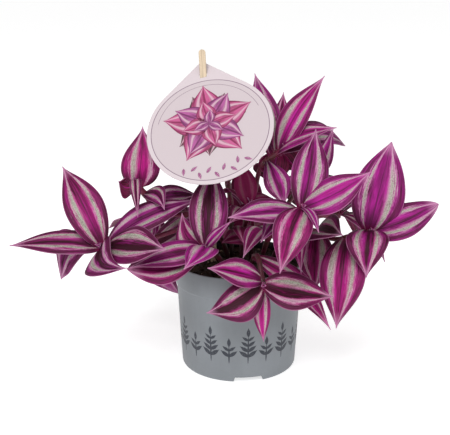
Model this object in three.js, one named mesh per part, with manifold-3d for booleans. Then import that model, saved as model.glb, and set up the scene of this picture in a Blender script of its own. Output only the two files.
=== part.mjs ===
// A potted tradescantia: a plastic nursery pot filled with soil, leafy stems that arch out over
// its rim, and a paper plant card on a wooden stick.
// Millimetres, +Z up. The origin is the centre of the pot's underside, and -Y is the front.

import * as THREE from "three";
import { mergeVertices } from "three/addons/utils/BufferGeometryUtils.js";
import Module from "manifold-3d";

const wasm = await Module();
wasm.setup();

// ---- Driving dimensions ----
const POT_HEIGHT = 89;
const RIM_RADIUS = 52.5; // a 10.5 cm pot
const RIM_BAND = 18; // height of the band round the mouth
const BODY_TOP_RADIUS = 50.7; // just below the band
const BASE_RADIUS = 47;
const BASE_ROUNDING = 3;
const WALL = 1.3;
const FLOOR = 1.6;
const NOTCH_COUNT = 3; // drainage notches round the foot of the pot
const FIRST_NOTCH_DEGREES = -80; // the first is a little right of the front
const NOTCH_WIDTH = 25;
const NOTCH_HEIGHT = 4.6;
const NOTCH_DEPTH = 11;
const NOTCH_SLANT = 1.6; // how far each side leans in towards the roof

const SOIL_LEVEL = 82;
const SOIL_ROUGHNESS = 1.3;
const GAP = 0.3; // between pieces that touch

const STEM_RADIUS = 2.2;
const STEM_SIDES = 5;
const STEM_STEP = 11; // length of one straight stretch of a stem
const STEM_FOOT = 70; // height at which the stems end in the soil
const HOLE_CLEARANCE = 0.7;
const BUD_RADIUS = 3.4; // the folded bud that ends each stem

const LEAF_THICKNESS = 0.8;
const LEAF_FOLD = 0.42; // how steeply the two halves rise from the midrib
const LEAF_CURL = 0.34; // how far the margins turn back down
const LEAF_COLUMNS = [-1, -0.5, 0, 0.5, 1];
const NARROW_LEAF_COLUMNS = [-1, 0, 1];
const NARROW_LEAF = 19; // leaves narrower than this get the three columns
const LONG_LEAF_ROWS = [0, 0.16, 0.36, 0.58, 0.8, 1];
const SHORT_LEAF_ROWS = [0, 0.22, 0.6, 1];
const LONG_LEAF = 48; // leaves shorter than this get the short rows
const LEAF_TIP_WIDTH = 0.05; // half-width of the blunt tip, as a share of the leaf's

const CARD_RADIUS = 50;
const CARD_APEX = 67; // from the disc's centre to its point
const CARD_APEX_ROUNDING = 4;
const CARD_THICKNESS = 0.8;
const CARD_CENTRE = [-23, -12, 198];
const CARD_TILT = 44; // how far it leans back
const CARD_TURN = 13; // how far it faces left
const CARD_ROLL = 16; // its point leans left
const SLOT_FROM_CENTRE = 52;
const STICK_WIDTH = 5.5;
const STICK_THICKNESS = 2.2;
const STICK_FOOT = [-20, 9, 72];
const STICK_ABOVE_SLOT = 21;

// ---- The leafy stems ----
// route: points from the foot in the soil to the bud. Each leaf leaves the stem at "at" (0 is the
// foot, 1 the bud), ends in its own tip point, and its upper side faces the way "faces" says.
// arch is how far it bows up, and bend how far it bows sideways, as shares of its length. A low
// under 0.8 puts its widest part nearer the base, and a full above 0 makes its tip blunter.
const STEMS = [
  {
    name: "stem_far_left",
    route: [[-16, -6], [-38, -14, 117], [-70, -24, 113], [-106, -34, 109]],
    leaves: [
      { at: 1.0, tip: [-141, 0, 165], width: 31, arch: 0.1, faces: [-0.1, -0.75, 0.5], bend: 0.035 },
      { at: 1.0, tip: [-180, -30, 108], width: 26, arch: 0.05, faces: [0, -0.6, 0.8], low: 0.7 },
      { at: 0.97, tip: [-53, -78, 121], width: 33, arch: 0.02, faces: [0, -0.75, 0.6] },
      {
        at: 1.0, tip: [-81, -82, 108], width: 30, arch: 0.1, faces: [0, -1, 0.35],
        bend: 0.2, low: 0.5,
      },
      {
        at: 1.0, tip: [-143, -18, 76], width: 30, arch: 0, faces: [-0.3, -0.9, 0.2],
        bend: 0.33, low: 1.3, full: 0.2,
      },
      { at: 0.97, tip: [-31, -14, 142], width: 27, arch: 0.12, faces: [0, -0.45, 0.85] },
      { at: 0.72, tip: [-64, -34, 134], width: 12, arch: 0.1, faces: [-0.2, -0.9, 0.3] },
    ],
  },
  {
    name: "stem_upper_left",
    route: [[-10, 14], [-27, 6, 122], [-62, -2, 128], [-81, -8, 153]],
    leaves: [
      { at: 0.98, tip: [-77, 8, 196], width: 31, arch: 0.1, faces: [0, -1, 0.1], bend: 0.02, low: 0.6 },
      { at: 1.0, tip: [-78, -34, 133], width: 9, arch: 0.5, faces: [0, -0.8, 1] },
      { at: 1.0, tip: [-95, -12, 156], width: 20, arch: 0.1, faces: [0.2, 1, 0.1], bend: 0.35 },
      { at: 0.92, tip: [-57, -38, 140], width: 15, arch: 0.04, faces: [0.1, -0.9, 0.3], bend: -0.15 },
      { at: 0.85, tip: [-33, 4, 141], width: 21, arch: 0.07, faces: [0, -0.7, 0.7] },
      { at: 0.6, tip: [-84, 56, 112], width: 24, arch: 0.15, faces: [-0.2, 0.4, 0.9] },
    ],
  },
  {
    name: "stem_front_left",
    route: [[-12, -22], [-18, -36, 104], [-25, -50, 113]],
    leaves: [
      { at: 0.98, tip: [-21, -8, 167], width: 30, arch: 0.08, faces: [0, -1, 0.25] },
      { at: 0.9, tip: [-44, -32, 136], width: 22, arch: 0.1, faces: [-0.3, -0.9, 0.2], bend: -0.2 },
      { at: 0.93, tip: [-81, -66, 103], width: 25, arch: 0.05, faces: [0, -0.6, 0.85] },
      { at: 1.0, tip: [-40, -84, 108], width: 25, arch: 0.15, faces: [-0.2, -0.6, 0.7], bend: -0.12 },
      { at: 1.0, tip: [-6, -62, 138], width: 10, arch: 0.1, faces: [-0.5, -0.8, 0.4] },
      {
        at: 0.93, tip: [-84, -62, 100], width: 28, arch: 0, faces: [-0.1, -0.7, 0.7],
        bend: -0.14, low: 1.5, full: 0.5,
      },
    ],
  },
  {
    name: "stem_upper_right",
    route: [[10, 10], [13, 4, 145], [18, 2, 166], [33, -4, 180]],
    leaves: [
      { at: 0.92, tip: [12, 30, 235.5], width: 24, arch: 0.08, faces: [0.1, -1, 0.1] },
      { at: 0.95, tip: [35, 20, 222], width: 17, arch: 0.05, faces: [0, -1, 0.2] },
      { at: 0.98, tip: [65, -8, 238.5], width: 23, arch: 0.1, faces: [-0.2, -0.9, 0.3], bend: -0.02 },
      { at: 0.97, tip: [74, -22, 201], width: 21, arch: 0.15, faces: [0, -0.6, 0.8] },
      { at: 0.97, tip: [87, 31, 176], width: 28, arch: 0.28, faces: [0.1, -0.6, 0.75], full: 0.4 },
      { at: 0.87, tip: [35, -30, 142], width: 21, arch: 0.12, faces: [0, -0.9, 0.4], low: 1.3 },
      { at: 0.97, tip: [27, -6, 153], width: 26, arch: 0.25, faces: [0, 1, 0.3] },
      { at: 0.95, tip: [48, 0, 161], width: 22, arch: 0.2, faces: [0.2, 1, 0.3] },
      { at: 0.85, tip: [22, 12, 151], width: 18, arch: 0.2, faces: [-0.2, 0.6, 0.5] },
      { at: 0.32, tip: [21, -10, 114], width: 15, arch: 0.2, faces: [0.4, -0.5, 0.8] },
    ],
  },
  {
    name: "stem_front_right",
    route: [[18, -10], [25, -26, 118], [41, -50, 133], [46, -62, 148]],
    leaves: [
      { at: 1.0, tip: [57, -34, 202], width: 28, arch: 0.08, faces: [0.1, -1, 0.2] },
      { at: 1.0, tip: [95, -66, 177], width: 28, arch: 0.03, faces: [0.1, -0.7, 0.7], bend: 0.06 },
      { at: 0.95, tip: [-8, -80, 146], width: 27, arch: 0.07, faces: [-0.1, -0.6, 0.8] },
      { at: 1.0, tip: [29, -98, 110], width: 28, arch: 0.2, faces: [-0.1, -0.75, 0.6] },
      { at: 1.0, tip: [57, -84, 136], width: 9, arch: 0.2, faces: [0.4, -0.8, 0.4] },
      { at: 0.7, tip: [16, -66, 123], width: 17, arch: 0.3, faces: [-0.2, -0.5, 0.8] },
      { at: 0.45, tip: [3, -60, 109], width: 19, arch: 0.3, faces: [-0.2, -0.5, 0.8] },
    ],
  },
  {
    name: "stem_right",
    route: [[20, 14], [44, 14, 138], [58, 4, 158]],
    leaves: [
      { at: 1.0, tip: [72, -16, 200], width: 16, arch: 0.16, faces: [0.2, -1, 0.2] },
      { at: 0.9, tip: [36, -2, 146], width: 20, arch: 0.1, faces: [-0.3, -0.5, 0.8] },
      { at: 0.97, tip: [80, 44, 138], width: 26, arch: 0.1, faces: [0.1, 0, 0.9] },
      { at: 0.9, tip: [66, 25, 189], width: 24, arch: 0.1, faces: [0, 0.9, 0.3], bend: 0.16, low: 1.2 },
    ],
  },
  {
    name: "stem_far_right",
    route: [[27, -2], [46, -8, 118], [75, -24, 113], [100, -34, 122]],
    leaves: [
      {
        at: 1.0, tip: [117, -16, 189], width: 41, arch: 0.1, faces: [-0.05, -1, 0.2],
        bend: -0.015, low: 0.76, full: 0.3,
      },
      {
        at: 1.0, tip: [151, -40, 146], width: 29, arch: 0.03, faces: [0.1, -0.75, 0.6],
        bend: 0.04, full: 0.6,
      },
      { at: 1.0, tip: [95, -66, 96], width: 32, arch: 0.32, faces: [0, -0.7, 0.7], bend: 0.06 },
      { at: 0.84, tip: [75, -56, 51], width: 35, arch: 0.25, faces: [-0.1, -0.85, 0.5], bend: -0.02 },
      { at: 0.62, tip: [59, -42, 76], width: 28, arch: 0.18, faces: [-0.2, -0.8, 0.5] },
      { at: 0.62, tip: [77, -60, 127], width: 30, arch: 0.12, faces: [0, -0.8, 0.5] },
      { at: 0.5, tip: [47, -58, 96], width: 16, arch: 0.25, faces: [-0.2, -0.8, 0.5] },
      { at: 0.3, tip: [34, -35, 107], width: 19, arch: 0.25, faces: [0, -0.6, 0.8] },
    ],
  },
  {
    name: "stem_front",
    route: [[8, -27], [14, -46, 106], [18, -66, 90]],
    leaves: [
      { at: 0.95, tip: [-23, -78, 107], width: 25, arch: 0.06, faces: [0, -0.6, 0.8] },
      { at: 1.0, tip: [-24, -76, 71], width: 30, arch: 0.05, faces: [-0.1, -0.85, 0.5], bend: -0.12 },
      { at: 1.0, tip: [70, -72, 83], width: 31, arch: 0.04, faces: [0.1, -0.75, 0.65], bend: 0.05 },
      { at: 1.0, tip: [19, -68, 45], width: 13, arch: 0.12, faces: [0, -0.95, 0.3], bend: 0.04 },
      { at: 0.55, tip: [70, -64, 53], width: 19, arch: 0.05, faces: [0, -0.95, 0.3], bend: -0.08 },
    ],
  },
  {
    name: "stem_centre",
    route: [[2, 2], [4, 0, 112], [8, -8, 136]],
    leaves: [
      { at: 1.0, tip: [0, -2, 172], width: 18, arch: 0.1, faces: [0, -1, 0.2] },
      { at: 0.95, tip: [-17, 24, 137], width: 20, arch: 0.2, faces: [0, 0.4, 0.9] },
      { at: 1.0, tip: [27, -2, 140], width: 18, arch: 0.05, faces: [0, -0.5, 0.8] },
      { at: 0.8, tip: [-8, -34, 128], width: 20, arch: 0.25, faces: [0, -0.5, 0.8] },
      { at: 0.62, tip: [4, -26, 108], width: 18, arch: 0.3, faces: [0, -0.5, 0.8] },
      { at: 0.5, tip: [-14, -14, 106], width: 17, arch: 0.2, faces: [0, -0.6, 0.8] },
    ],
  },
  {
    name: "stem_back_centre",
    route: [[-6, 24], [-8, 38, 130], [-14, 42, 165]],
    leaves: [
      { at: 1.0, tip: [-26, 66, 212], width: 28, arch: 0.1, faces: [0.2, -0.6, 0.4] },
      { at: 1.0, tip: [-66, 62, 170], width: 28, arch: 0.15, faces: [0, 0.4, 0.9] },
      { at: 1.0, tip: [30, 66, 182], width: 28, arch: 0.15, faces: [0, 0.4, 0.9] },
      { at: 1.0, tip: [-18, 102, 150], width: 30, arch: 0.2, faces: [0, 0.4, 0.9] },
      { at: 0.75, tip: [20, 36, 158], width: 24, arch: 0.2, faces: [0, 0.2, 0.9] },
      { at: 0.6, tip: [-88, 30, 78], width: 36, arch: 0.03, faces: [-0.1, -0.5, 0.8] },
      { at: 0.44, tip: [-31, 35, 113], width: 28, arch: 0.12, faces: [0, -0.8, 0.5] },
      { at: 0.4, tip: [28, 41, 113], width: 28, arch: 0.12, faces: [0, -0.8, 0.5] },
    ],
  },
  {
    name: "stem_back_left",
    route: [[-26, 24], [-50, 46, 110], [-74, 62, 102]],
    leaves: [
      { at: 1.0, tip: [-120, 92, 86], width: 30, arch: 0.1, faces: [0, 0.3, 0.9] },
      { at: 1.0, tip: [-98, 112, 62], width: 28, arch: 0.15, faces: [-0.4, 0.5, 0.8] },
      { at: 1.0, tip: [-112, 28, 84], width: 26, arch: 0.15, faces: [-0.2, 0, 0.9] },
      { at: 0.95, tip: [-50, 98, 120], width: 28, arch: 0.1, faces: [-0.4, 0.7, 0.3] },
      { at: 0.8, tip: [-52, 108, 80], width: 24, arch: 0.2, faces: [0, 0.4, 0.9] },
      {
        at: 0.95, tip: [-53, 42, 42], width: 34, arch: 0.1, faces: [-0.2, -0.9, 0.3],
        bend: 0.19, full: 0.5,
      },
    ],
  },
  {
    name: "stem_back",
    route: [[2, 32], [8, 56, 108], [10, 76, 98]],
    leaves: [
      { at: 1.0, tip: [8, 118, 58], width: 32, arch: 0.2, faces: [0, 0.6, 0.8] },
      { at: 1.0, tip: [-36, 100, 50], width: 26, arch: 0.2, faces: [-0.2, 0.6, 0.7] },
      { at: 1.0, tip: [56, 98, 82], width: 28, arch: 0.2, faces: [0, 0.5, 0.8] },
      { at: 0.97, tip: [-2, 104, 150], width: 30, arch: 0.1, faces: [0, 0.9, 0.2] },
      { at: 0.7, tip: [-28, 86, 122], width: 24, arch: 0.2, faces: [0, 0.4, 0.9] },
    ],
  },
  {
    name: "stem_back_right",
    route: [[32, 18], [58, 36, 112], [86, 48, 112]],
    leaves: [
      { at: 1.0, tip: [140, 66, 122], width: 30, arch: 0.15, faces: [0, 0.2, 0.9] },
      { at: 1.0, tip: [112, 92, 68], width: 28, arch: 0.2, faces: [0.3, 0.5, 0.8] },
      { at: 1.0, tip: [26, 64, 138], width: 34, arch: 0.1, faces: [0.2, 0.7, 0.2] },
      { at: 1.0, tip: [122, 18, 80], width: 26, arch: 0.2, faces: [0.2, 0, 0.9] },
      { at: 0.75, tip: [52, 102, 118], width: 24, arch: 0.2, faces: [0, 0.4, 0.9] },
    ],
  },
];

// ---- Materials ----
const paint = (color, roughness) =>
  new THREE.MeshStandardMaterial({ color, roughness, metalness: 0 });
const POT_PLASTIC = paint(0x80898f, 0.5);
const SOIL_DARK = paint(0x2a1f19, 1);
const LEAF_PURPLE = paint(0x8a2a70, 0.45);
const CARD_PAPER = paint(0xded4da, 0.6);
const STICK_WOOD = paint(0xf0d7aa, 0.7);

// ---- From geometry to solids and back ----
function solidOf(geometry) {
  const bare = new THREE.BufferGeometry();
  bare.setAttribute("position", geometry.getAttribute("position"));
  if (geometry.index) bare.setIndex(geometry.index);
  const merged = mergeVertices(bare, 1e-4);
  const corners = [];
  for (let i = 0; i < merged.index.count; i += 3) {
    const [a, b, c] = [0, 1, 2].map((k) => merged.index.getX(i + k));
    if (a !== b && b !== c && c !== a) corners.push(a, b, c);
  }
  const mesh = new wasm.Mesh({
    numProp: 3,
    vertProperties: new Float32Array(merged.getAttribute("position").array),
    triVerts: new Uint32Array(corners),
  });
  const solid = new wasm.Manifold(mesh);
  if (solid.volume() > 0) return solid;
  for (let i = 0; i < corners.length; i += 3) {
    [corners[i + 1], corners[i + 2]] = [corners[i + 2], corners[i + 1]];
  }
  mesh.triVerts = new Uint32Array(corners);
  return new wasm.Manifold(mesh);
}

function meshOf(name, solid, material) {
  const { vertProperties, triVerts } = solid.getMesh();
  const geometry = new THREE.BufferGeometry();
  geometry.setAttribute("position", new THREE.BufferAttribute(vertProperties, 3));
  geometry.setIndex(new THREE.BufferAttribute(triVerts, 1));
  geometry.computeVertexNormals();
  const mesh = new THREE.Mesh(geometry, material);
  mesh.name = name;
  return mesh;
}

const joined = (solids) => solids.reduce((sum, solid) => sum.add(solid));

// A solid of revolution about Z from [radius, height] pairs.
function turned(profile, segments) {
  const points = profile.map(([radius, height]) => new THREE.Vector2(radius, height));
  return solidOf(new THREE.LatheGeometry(points, segments).rotateX(Math.PI / 2));
}

// ---- The pot ----
const POT_SEGMENTS = 32;

// The pot's outside from the foot up to the rim; inset moves it towards the axis.
function potOutside(inset, foot, top) {
  const rounding = [0, 45, 90].map((degrees) => {
    const turn = THREE.MathUtils.degToRad(degrees);
    const radius = BASE_RADIUS - BASE_ROUNDING + BASE_ROUNDING * Math.sin(turn);
    return [radius - inset, foot + BASE_ROUNDING * (1 - Math.cos(turn))];
  });
  const bandFoot = POT_HEIGHT - RIM_BAND;
  return [
    [0, foot],
    ...rounding,
    [BODY_TOP_RADIUS - inset, bandFoot - 0.8],
    [RIM_RADIUS - 0.7 - inset, bandFoot],
    [RIM_RADIUS - inset, top],
  ];
}

// A wedge in the foot of the pot, grown on every side but the bottom.
function notch(index, growth) {
  const half = NOTCH_WIDTH / 2 + growth;
  const roof = NOTCH_HEIGHT + growth;
  const shape = new THREE.Shape([
    new THREE.Vector2(-half - 0.2, -1),
    new THREE.Vector2(half + 0.2, -1),
    new THREE.Vector2(half - NOTCH_SLANT, roof),
    new THREE.Vector2(-half + NOTCH_SLANT, roof),
  ]);
  const inner = BASE_RADIUS - NOTCH_DEPTH - growth;
  const outer = BASE_RADIUS + 8;
  const wedge = new THREE.ExtrudeGeometry(shape, { depth: outer - inner, bevelEnabled: false });
  // The extrusion runs along +Z: turn it to run outwards along +X, with the shape's up as +Z.
  wedge.rotateY(Math.PI / 2).rotateX(Math.PI / 2).translate(inner, 0, 0);
  const degrees = FIRST_NOTCH_DEGREES + (index * 360) / NOTCH_COUNT;
  return solidOf(wedge.rotateZ(THREE.MathUtils.degToRad(degrees)));
}

function notches(growth) {
  return joined(Array.from({ length: NOTCH_COUNT }, (_, index) => notch(index, growth)));
}

function makePot() {
  const outside = potOutside(0, 0, POT_HEIGHT - 1);
  const inside = potOutside(WALL, FLOOR, POT_HEIGHT - 1).reverse();
  const lip = [
    [RIM_RADIUS - 0.3, POT_HEIGHT - 0.2],
    [RIM_RADIUS - WALL / 2, POT_HEIGHT],
    [RIM_RADIUS - WALL + 0.3, POT_HEIGHT - 0.2],
  ];
  const shell = turned([...outside, ...lip, ...inside], POT_SEGMENTS);
  const full = turned([...outside, [0, POT_HEIGHT - 1]], POT_SEGMENTS);
  return shell.add(notches(WALL).intersect(full)).subtract(notches(0));
}

// ---- Curves, leaves and stems ----
const vector = ([x, y, z]) => new THREE.Vector3(x, y, z);

// Three points one above the other keep the foot of a stem upright in its hole.
function stemCurve(stem) {
  const [[x, y], ...rest] = stem.route;
  const foot = [[x, y, STEM_FOOT], [x, y, STEM_FOOT + 9], [x, y, STEM_FOOT + 18]];
  return new THREE.CatmullRomCurve3([...foot, ...rest].map(vector), false, "centripetal");
}

function stemTube(stem, curve) {
  const round = new THREE.Shape();
  for (let side = 0; side < STEM_SIDES; side += 1) {
    const turn = (side / STEM_SIDES) * 2 * Math.PI;
    const corner = [STEM_RADIUS * Math.cos(turn), STEM_RADIUS * Math.sin(turn)];
    if (side) round.lineTo(...corner);
    else round.moveTo(...corner);
  }
  const steps = Math.round(curve.getLength() / STEM_STEP);
  return solidOf(new THREE.ExtrudeGeometry(round, { extrudePath: curve, steps, bevelEnabled: false }));
}

function stemBud(curve) {
  const bud = new THREE.SphereGeometry(BUD_RADIUS, 6, 4);
  const end = curve.getPoint(1);
  return solidOf(bud.translate(end.x, end.y, end.z));
}

// Half-width of a leaf at v along it, as a share of its widest: a clasping base, the widest place
// well below the middle, and a long drawn-out tip.
function leafOutline(v, low = 0.8, full = 0) {
  const blade = Math.sin(Math.PI * Math.min(v, 1) ** low) ** (0.7 + (0.6 - full) * v);
  const clasp = v < 0.3 ? 0.13 * (1 - v) ** 0.5 : 0;
  return Math.max(blade || 0, clasp, LEAF_TIP_WIDTH);
}

// A closed blade: the same grid of points on the upper and lower face, with a wall round the edge.
function leafSolid(curve, leaf) {
  const base = curve.getPointAt(leaf.at);
  const reach = vector(leaf.tip).sub(base);
  const length = reach.length();
  const ahead = reach.clone().normalize();
  const up = vector(leaf.faces);
  up.addScaledVector(ahead, -up.dot(ahead)).normalize();
  const side = new THREE.Vector3().crossVectors(ahead, up);
  const bow = (v) => Math.sin(Math.PI * v ** 0.85) * leaf.arch * length;
  const sway = (v) => Math.sin(Math.PI * v) * (leaf.bend ?? 0) * length;

  const rows = length < LONG_LEAF ? SHORT_LEAF_ROWS : LONG_LEAF_ROWS;
  const across = leaf.width < NARROW_LEAF ? NARROW_LEAF_COLUMNS : LEAF_COLUMNS;
  const points = [];
  for (const v of rows) {
    const middle = base.clone().addScaledVector(reach, v).addScaledVector(up, bow(v));
    middle.addScaledVector(side, sway(v));
    const rise = (bow(Math.min(v + 0.01, 1)) - bow(Math.max(v - 0.01, 0))) / 0.02 / length;
    const normal = up.clone().addScaledVector(ahead, -rise).normalize();
    const half = (leafOutline(v, leaf.low, leaf.full) * leaf.width) / 2;
    for (const face of [0.5, -0.5]) {
      for (const u of across) {
        const height = LEAF_FOLD * Math.abs(u) - LEAF_CURL * u * u;
        const point = middle.clone().addScaledVector(side, half * u);
        point.addScaledVector(normal, half * height + face * LEAF_THICKNESS);
        points.push(point);
      }
    }
  }

  const columns = across.length;
  const at = (row, lower, column) => row * 2 * columns + lower * columns + column;
  const corners = [];
  const quad = (a, b, c, d) => corners.push(a, b, c, a, c, d);
  const last = rows.length - 1;
  for (let row = 0; row < last; row += 1) {
    for (let column = 0; column < columns - 1; column += 1) {
      for (const lower of [0, 1]) {
        const a = at(row, lower, column);
        const b = at(row, lower, column + 1);
        const c = at(row + 1, lower, column + 1);
        const d = at(row + 1, lower, column);
        if (lower) corners.push(a, d, c, a, c, b);
        else corners.push(a, b, c, a, c, d);
      }
    }
    quad(at(row, 1, 0), at(row, 0, 0), at(row + 1, 0, 0), at(row + 1, 1, 0));
    const edge = columns - 1;
    quad(at(row, 0, edge), at(row, 1, edge), at(row + 1, 1, edge), at(row + 1, 0, edge));
  }
  for (let column = 0; column < columns - 1; column += 1) {
    quad(at(0, 1, column), at(0, 1, column + 1), at(0, 0, column + 1), at(0, 0, column));
    const [a, b] = [at(last, 0, column), at(last, 0, column + 1)];
    quad(a, b, at(last, 1, column + 1), at(last, 1, column));
  }
  const geometry = new THREE.BufferGeometry().setFromPoints(points);
  geometry.setIndex(corners);
  return solidOf(geometry);
}

function makeStem(stem) {
  const curve = stemCurve(stem);
  const leaves = stem.leaves.map((leaf) => leafSolid(curve, leaf));
  return joined([stemTube(stem, curve), stemBud(curve), ...leaves]);
}

// ---- The soil ----
// A seeded draw, so that the crumbly surface is the same each time.
function seeded(seed) {
  let state = seed;
  return () => {
    state = (state * 16807) % 2147483647;
    return state / 2147483647;
  };
}

function upright(x, y, radius, foot, sides) {
  const height = POT_HEIGHT - foot;
  const post = new THREE.CylinderGeometry(radius, radius, height, sides).rotateX(Math.PI / 2);
  return solidOf(post.translate(x, y, foot + height / 2));
}

function makeSoil(stickHole) {
  const bandFoot = POT_HEIGHT - RIM_BAND;
  const inset = WALL + GAP;
  const profile = potOutside(inset, FLOOR + GAP, POT_HEIGHT - 1).slice(0, -1);
  const share = (SOIL_LEVEL - bandFoot) / (POT_HEIGHT - 1 - bandFoot);
  const topRadius = RIM_RADIUS - 0.7 - inset + 0.7 * share;
  for (const ring of [1, 0.7, 0.36]) profile.push([topRadius * ring, SOIL_LEVEL]);
  profile.push([0, SOIL_LEVEL]);
  const points = profile.map(([radius, height]) => new THREE.Vector2(radius, height));
  const body = new THREE.LatheGeometry(points, 24).rotateX(Math.PI / 2);

  // Raise and lower the inner rings of the surface; points on one spot move alike.
  const random = seeded(11);
  const moved = new Map();
  const place = body.getAttribute("position");
  for (let i = 0; i < place.count; i += 1) {
    const [x, y] = [place.getX(i), place.getY(i)];
    const onTop = place.getZ(i) > SOIL_LEVEL - 0.01 && Math.hypot(x, y) < topRadius - 1;
    if (!onTop) continue;
    const spot = `${x.toFixed(2)} ${y.toFixed(2)}`.replaceAll("-0.00", "0.00");
    if (!moved.has(spot)) moved.set(spot, SOIL_LEVEL + (random() - 0.5) * 2 * SOIL_ROUGHNESS);
    place.setZ(i, moved.get(spot));
  }

  const holes = STEMS.map(({ route: [[x, y]] }) =>
    upright(x, y, STEM_RADIUS + HOLE_CLEARANCE, STEM_FOOT - GAP, 7),
  );
  return solidOf(body).subtract(notches(WALL + GAP)).subtract(joined([...holes, stickHole]));
}

// ---- The card and its stick ----
const CARD_FRAME = (() => {
  const [tilt, turn, roll] = [CARD_TILT, CARD_TURN, CARD_ROLL].map(THREE.MathUtils.degToRad);
  const out = new THREE.Vector3(
    -Math.sin(turn) * Math.cos(tilt),
    -Math.cos(turn) * Math.cos(tilt),
    Math.sin(tilt),
  );
  const level = new THREE.Vector3(0, 0, 1).cross(out).normalize();
  const rising = new THREE.Vector3().crossVectors(out, level);
  const right = level.clone().multiplyScalar(Math.cos(roll)).addScaledVector(rising, Math.sin(roll));
  const up = new THREE.Vector3().crossVectors(out, right);
  return { right, up, out, centre: vector(CARD_CENTRE) };
})();

const SLOT_POINT = CARD_FRAME.centre.clone().addScaledVector(CARD_FRAME.up, SLOT_FROM_CENTRE);

// A disc with a point on top: straight sides run from the rounded apex down onto the circle.
function cardShape() {
  const spread = Math.acos(CARD_RADIUS / CARD_APEX);
  const shape = new THREE.Shape();
  const apexCentre = CARD_APEX - CARD_APEX_ROUNDING / Math.cos(spread);
  const top = Math.PI / 2;
  shape.absarc(0, apexCentre, CARD_APEX_ROUNDING, top - spread, top + spread, false);
  shape.absarc(0, 0, CARD_RADIUS, top + spread, top - spread + 2 * Math.PI, false);
  shape.closePath();
  return shape;
}

// The stick is flat, with its width along the card's level edge, tapered to a blunt top.
function stickSolid(growth, footDrop) {
  const foot = vector(STICK_FOOT);
  const along = SLOT_POINT.clone().sub(foot).normalize();
  const start = foot.addScaledVector(along, -footDrop);
  const length = SLOT_POINT.distanceTo(start) + STICK_ABOVE_SLOT;
  const half = STICK_WIDTH / 2 + growth;
  const shape = new THREE.Shape([
    new THREE.Vector2(-half * 0.5, 0),
    new THREE.Vector2(half * 0.5, 0),
    new THREE.Vector2(half, growth ? 0 : 9),
    new THREE.Vector2(half, length - 6),
    new THREE.Vector2(half * 0.45, length),
    new THREE.Vector2(-half * 0.45, length),
    new THREE.Vector2(-half, length - 6),
    new THREE.Vector2(-half, growth ? 0 : 9),
  ]);
  const thickness = STICK_THICKNESS + 2 * growth;
  const flat = new THREE.ExtrudeGeometry(shape, { depth: thickness, bevelEnabled: false });
  flat.translate(0, 0, -thickness / 2);
  const front = new THREE.Vector3(1, 0, 0).cross(along).normalize();
  const across = new THREE.Vector3().crossVectors(along, front);
  const pose = new THREE.Matrix4().makeBasis(across, along, front).setPosition(start);
  return solidOf(flat.applyMatrix4(pose));
}

function makeCard() {
  const flat = new THREE.ExtrudeGeometry(cardShape(), {
    depth: CARD_THICKNESS,
    curveSegments: 18,
    bevelEnabled: false,
  });
  const { right, up, out, centre } = CARD_FRAME;
  const pose = new THREE.Matrix4().makeBasis(right, up, out).setPosition(centre);
  flat.translate(0, 0, -CARD_THICKNESS / 2);
  return solidOf(flat.applyMatrix4(pose)).subtract(stickSolid(GAP, 0));
}

// ---- The whole plant ----
const plant = new THREE.Group();
plant.add(meshOf("pot", makePot(), POT_PLASTIC));
plant.add(meshOf("soil", makeSoil(stickSolid(GAP, GAP)), SOIL_DARK));
for (const stem of STEMS) plant.add(meshOf(stem.name, makeStem(stem), LEAF_PURPLE));
plant.add(meshOf("plant_card", makeCard(), CARD_PAPER));
plant.add(meshOf("card_stick", stickSolid(0, 0), STICK_WOOD));

export default plant;
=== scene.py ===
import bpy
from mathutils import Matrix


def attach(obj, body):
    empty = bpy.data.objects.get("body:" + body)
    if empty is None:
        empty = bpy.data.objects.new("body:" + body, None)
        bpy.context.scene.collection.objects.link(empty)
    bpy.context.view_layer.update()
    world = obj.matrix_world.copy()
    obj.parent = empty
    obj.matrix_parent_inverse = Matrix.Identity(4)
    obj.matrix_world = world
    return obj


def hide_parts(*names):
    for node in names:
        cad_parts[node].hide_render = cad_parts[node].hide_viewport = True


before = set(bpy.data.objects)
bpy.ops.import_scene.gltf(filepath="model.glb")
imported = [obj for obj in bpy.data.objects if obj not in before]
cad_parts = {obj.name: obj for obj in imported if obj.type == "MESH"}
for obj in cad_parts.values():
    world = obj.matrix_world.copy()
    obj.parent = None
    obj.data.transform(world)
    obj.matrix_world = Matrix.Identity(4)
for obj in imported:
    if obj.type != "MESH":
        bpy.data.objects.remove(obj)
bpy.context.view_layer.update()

import math
import random
from collections import namedtuple

import bmesh
import bpy
from bpy.props import FloatProperty, FloatVectorProperty, IntProperty, PointerProperty
from mathutils import Matrix, Vector

bl_info = {
    "name": "Potted Tradescantia",
    "version": (1, 0, 0),
    "blender": (4, 5, 0),
    "location": "View3D > Sidebar > Potted Plant",
    "description": "Models a striped tradescantia in its nursery pot, with a plant card on a stick",
    "category": "Add Mesh",
}

MM = 0.001

# ---- Sizes without a slider, in metres and degrees ----
POT_ROUNDING = 0.003  # of the foot
POT_FLOOR = 0.0016
NOTCHES = 3
FIRST_NOTCH = -80  # a little right of the front
NOTCH_DEPTH = 0.011
NOTCH_SLANT = 0.0016  # how far each side leans in towards the roof
SPRIGS = 20  # printed round the pot
SPRIG_FOOT = 17  # millimetres above the table
INK = 0.00005  # how far the print on the pot stands out
SOIL_FOOT = 0.0078
SOIL_RING = 0.0013  # spacing of the rings that shape the soil's surface
STEM_FOOT = (70, 79, 88)  # heights in millimetres at which a stem is upright
ROUTE_STEPS = 24  # from one point of a route to the next
LEAF_REACH = 0.998  # keeps the thick tips inside the plain part's box
HAIRS_PER_LEAF = 9
CARD_CENTRE = (-0.023, -0.012, 0.198)
CARD_LEAN = (44, 13, 16)  # back, to the left, and rolled to the left
CARD_MAP = 0.140  # what the card's flat map covers each way
CARD_INK = 0.00005  # from one printed layer to the next
SLOT_FROM_CENTRE = 0.052
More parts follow.
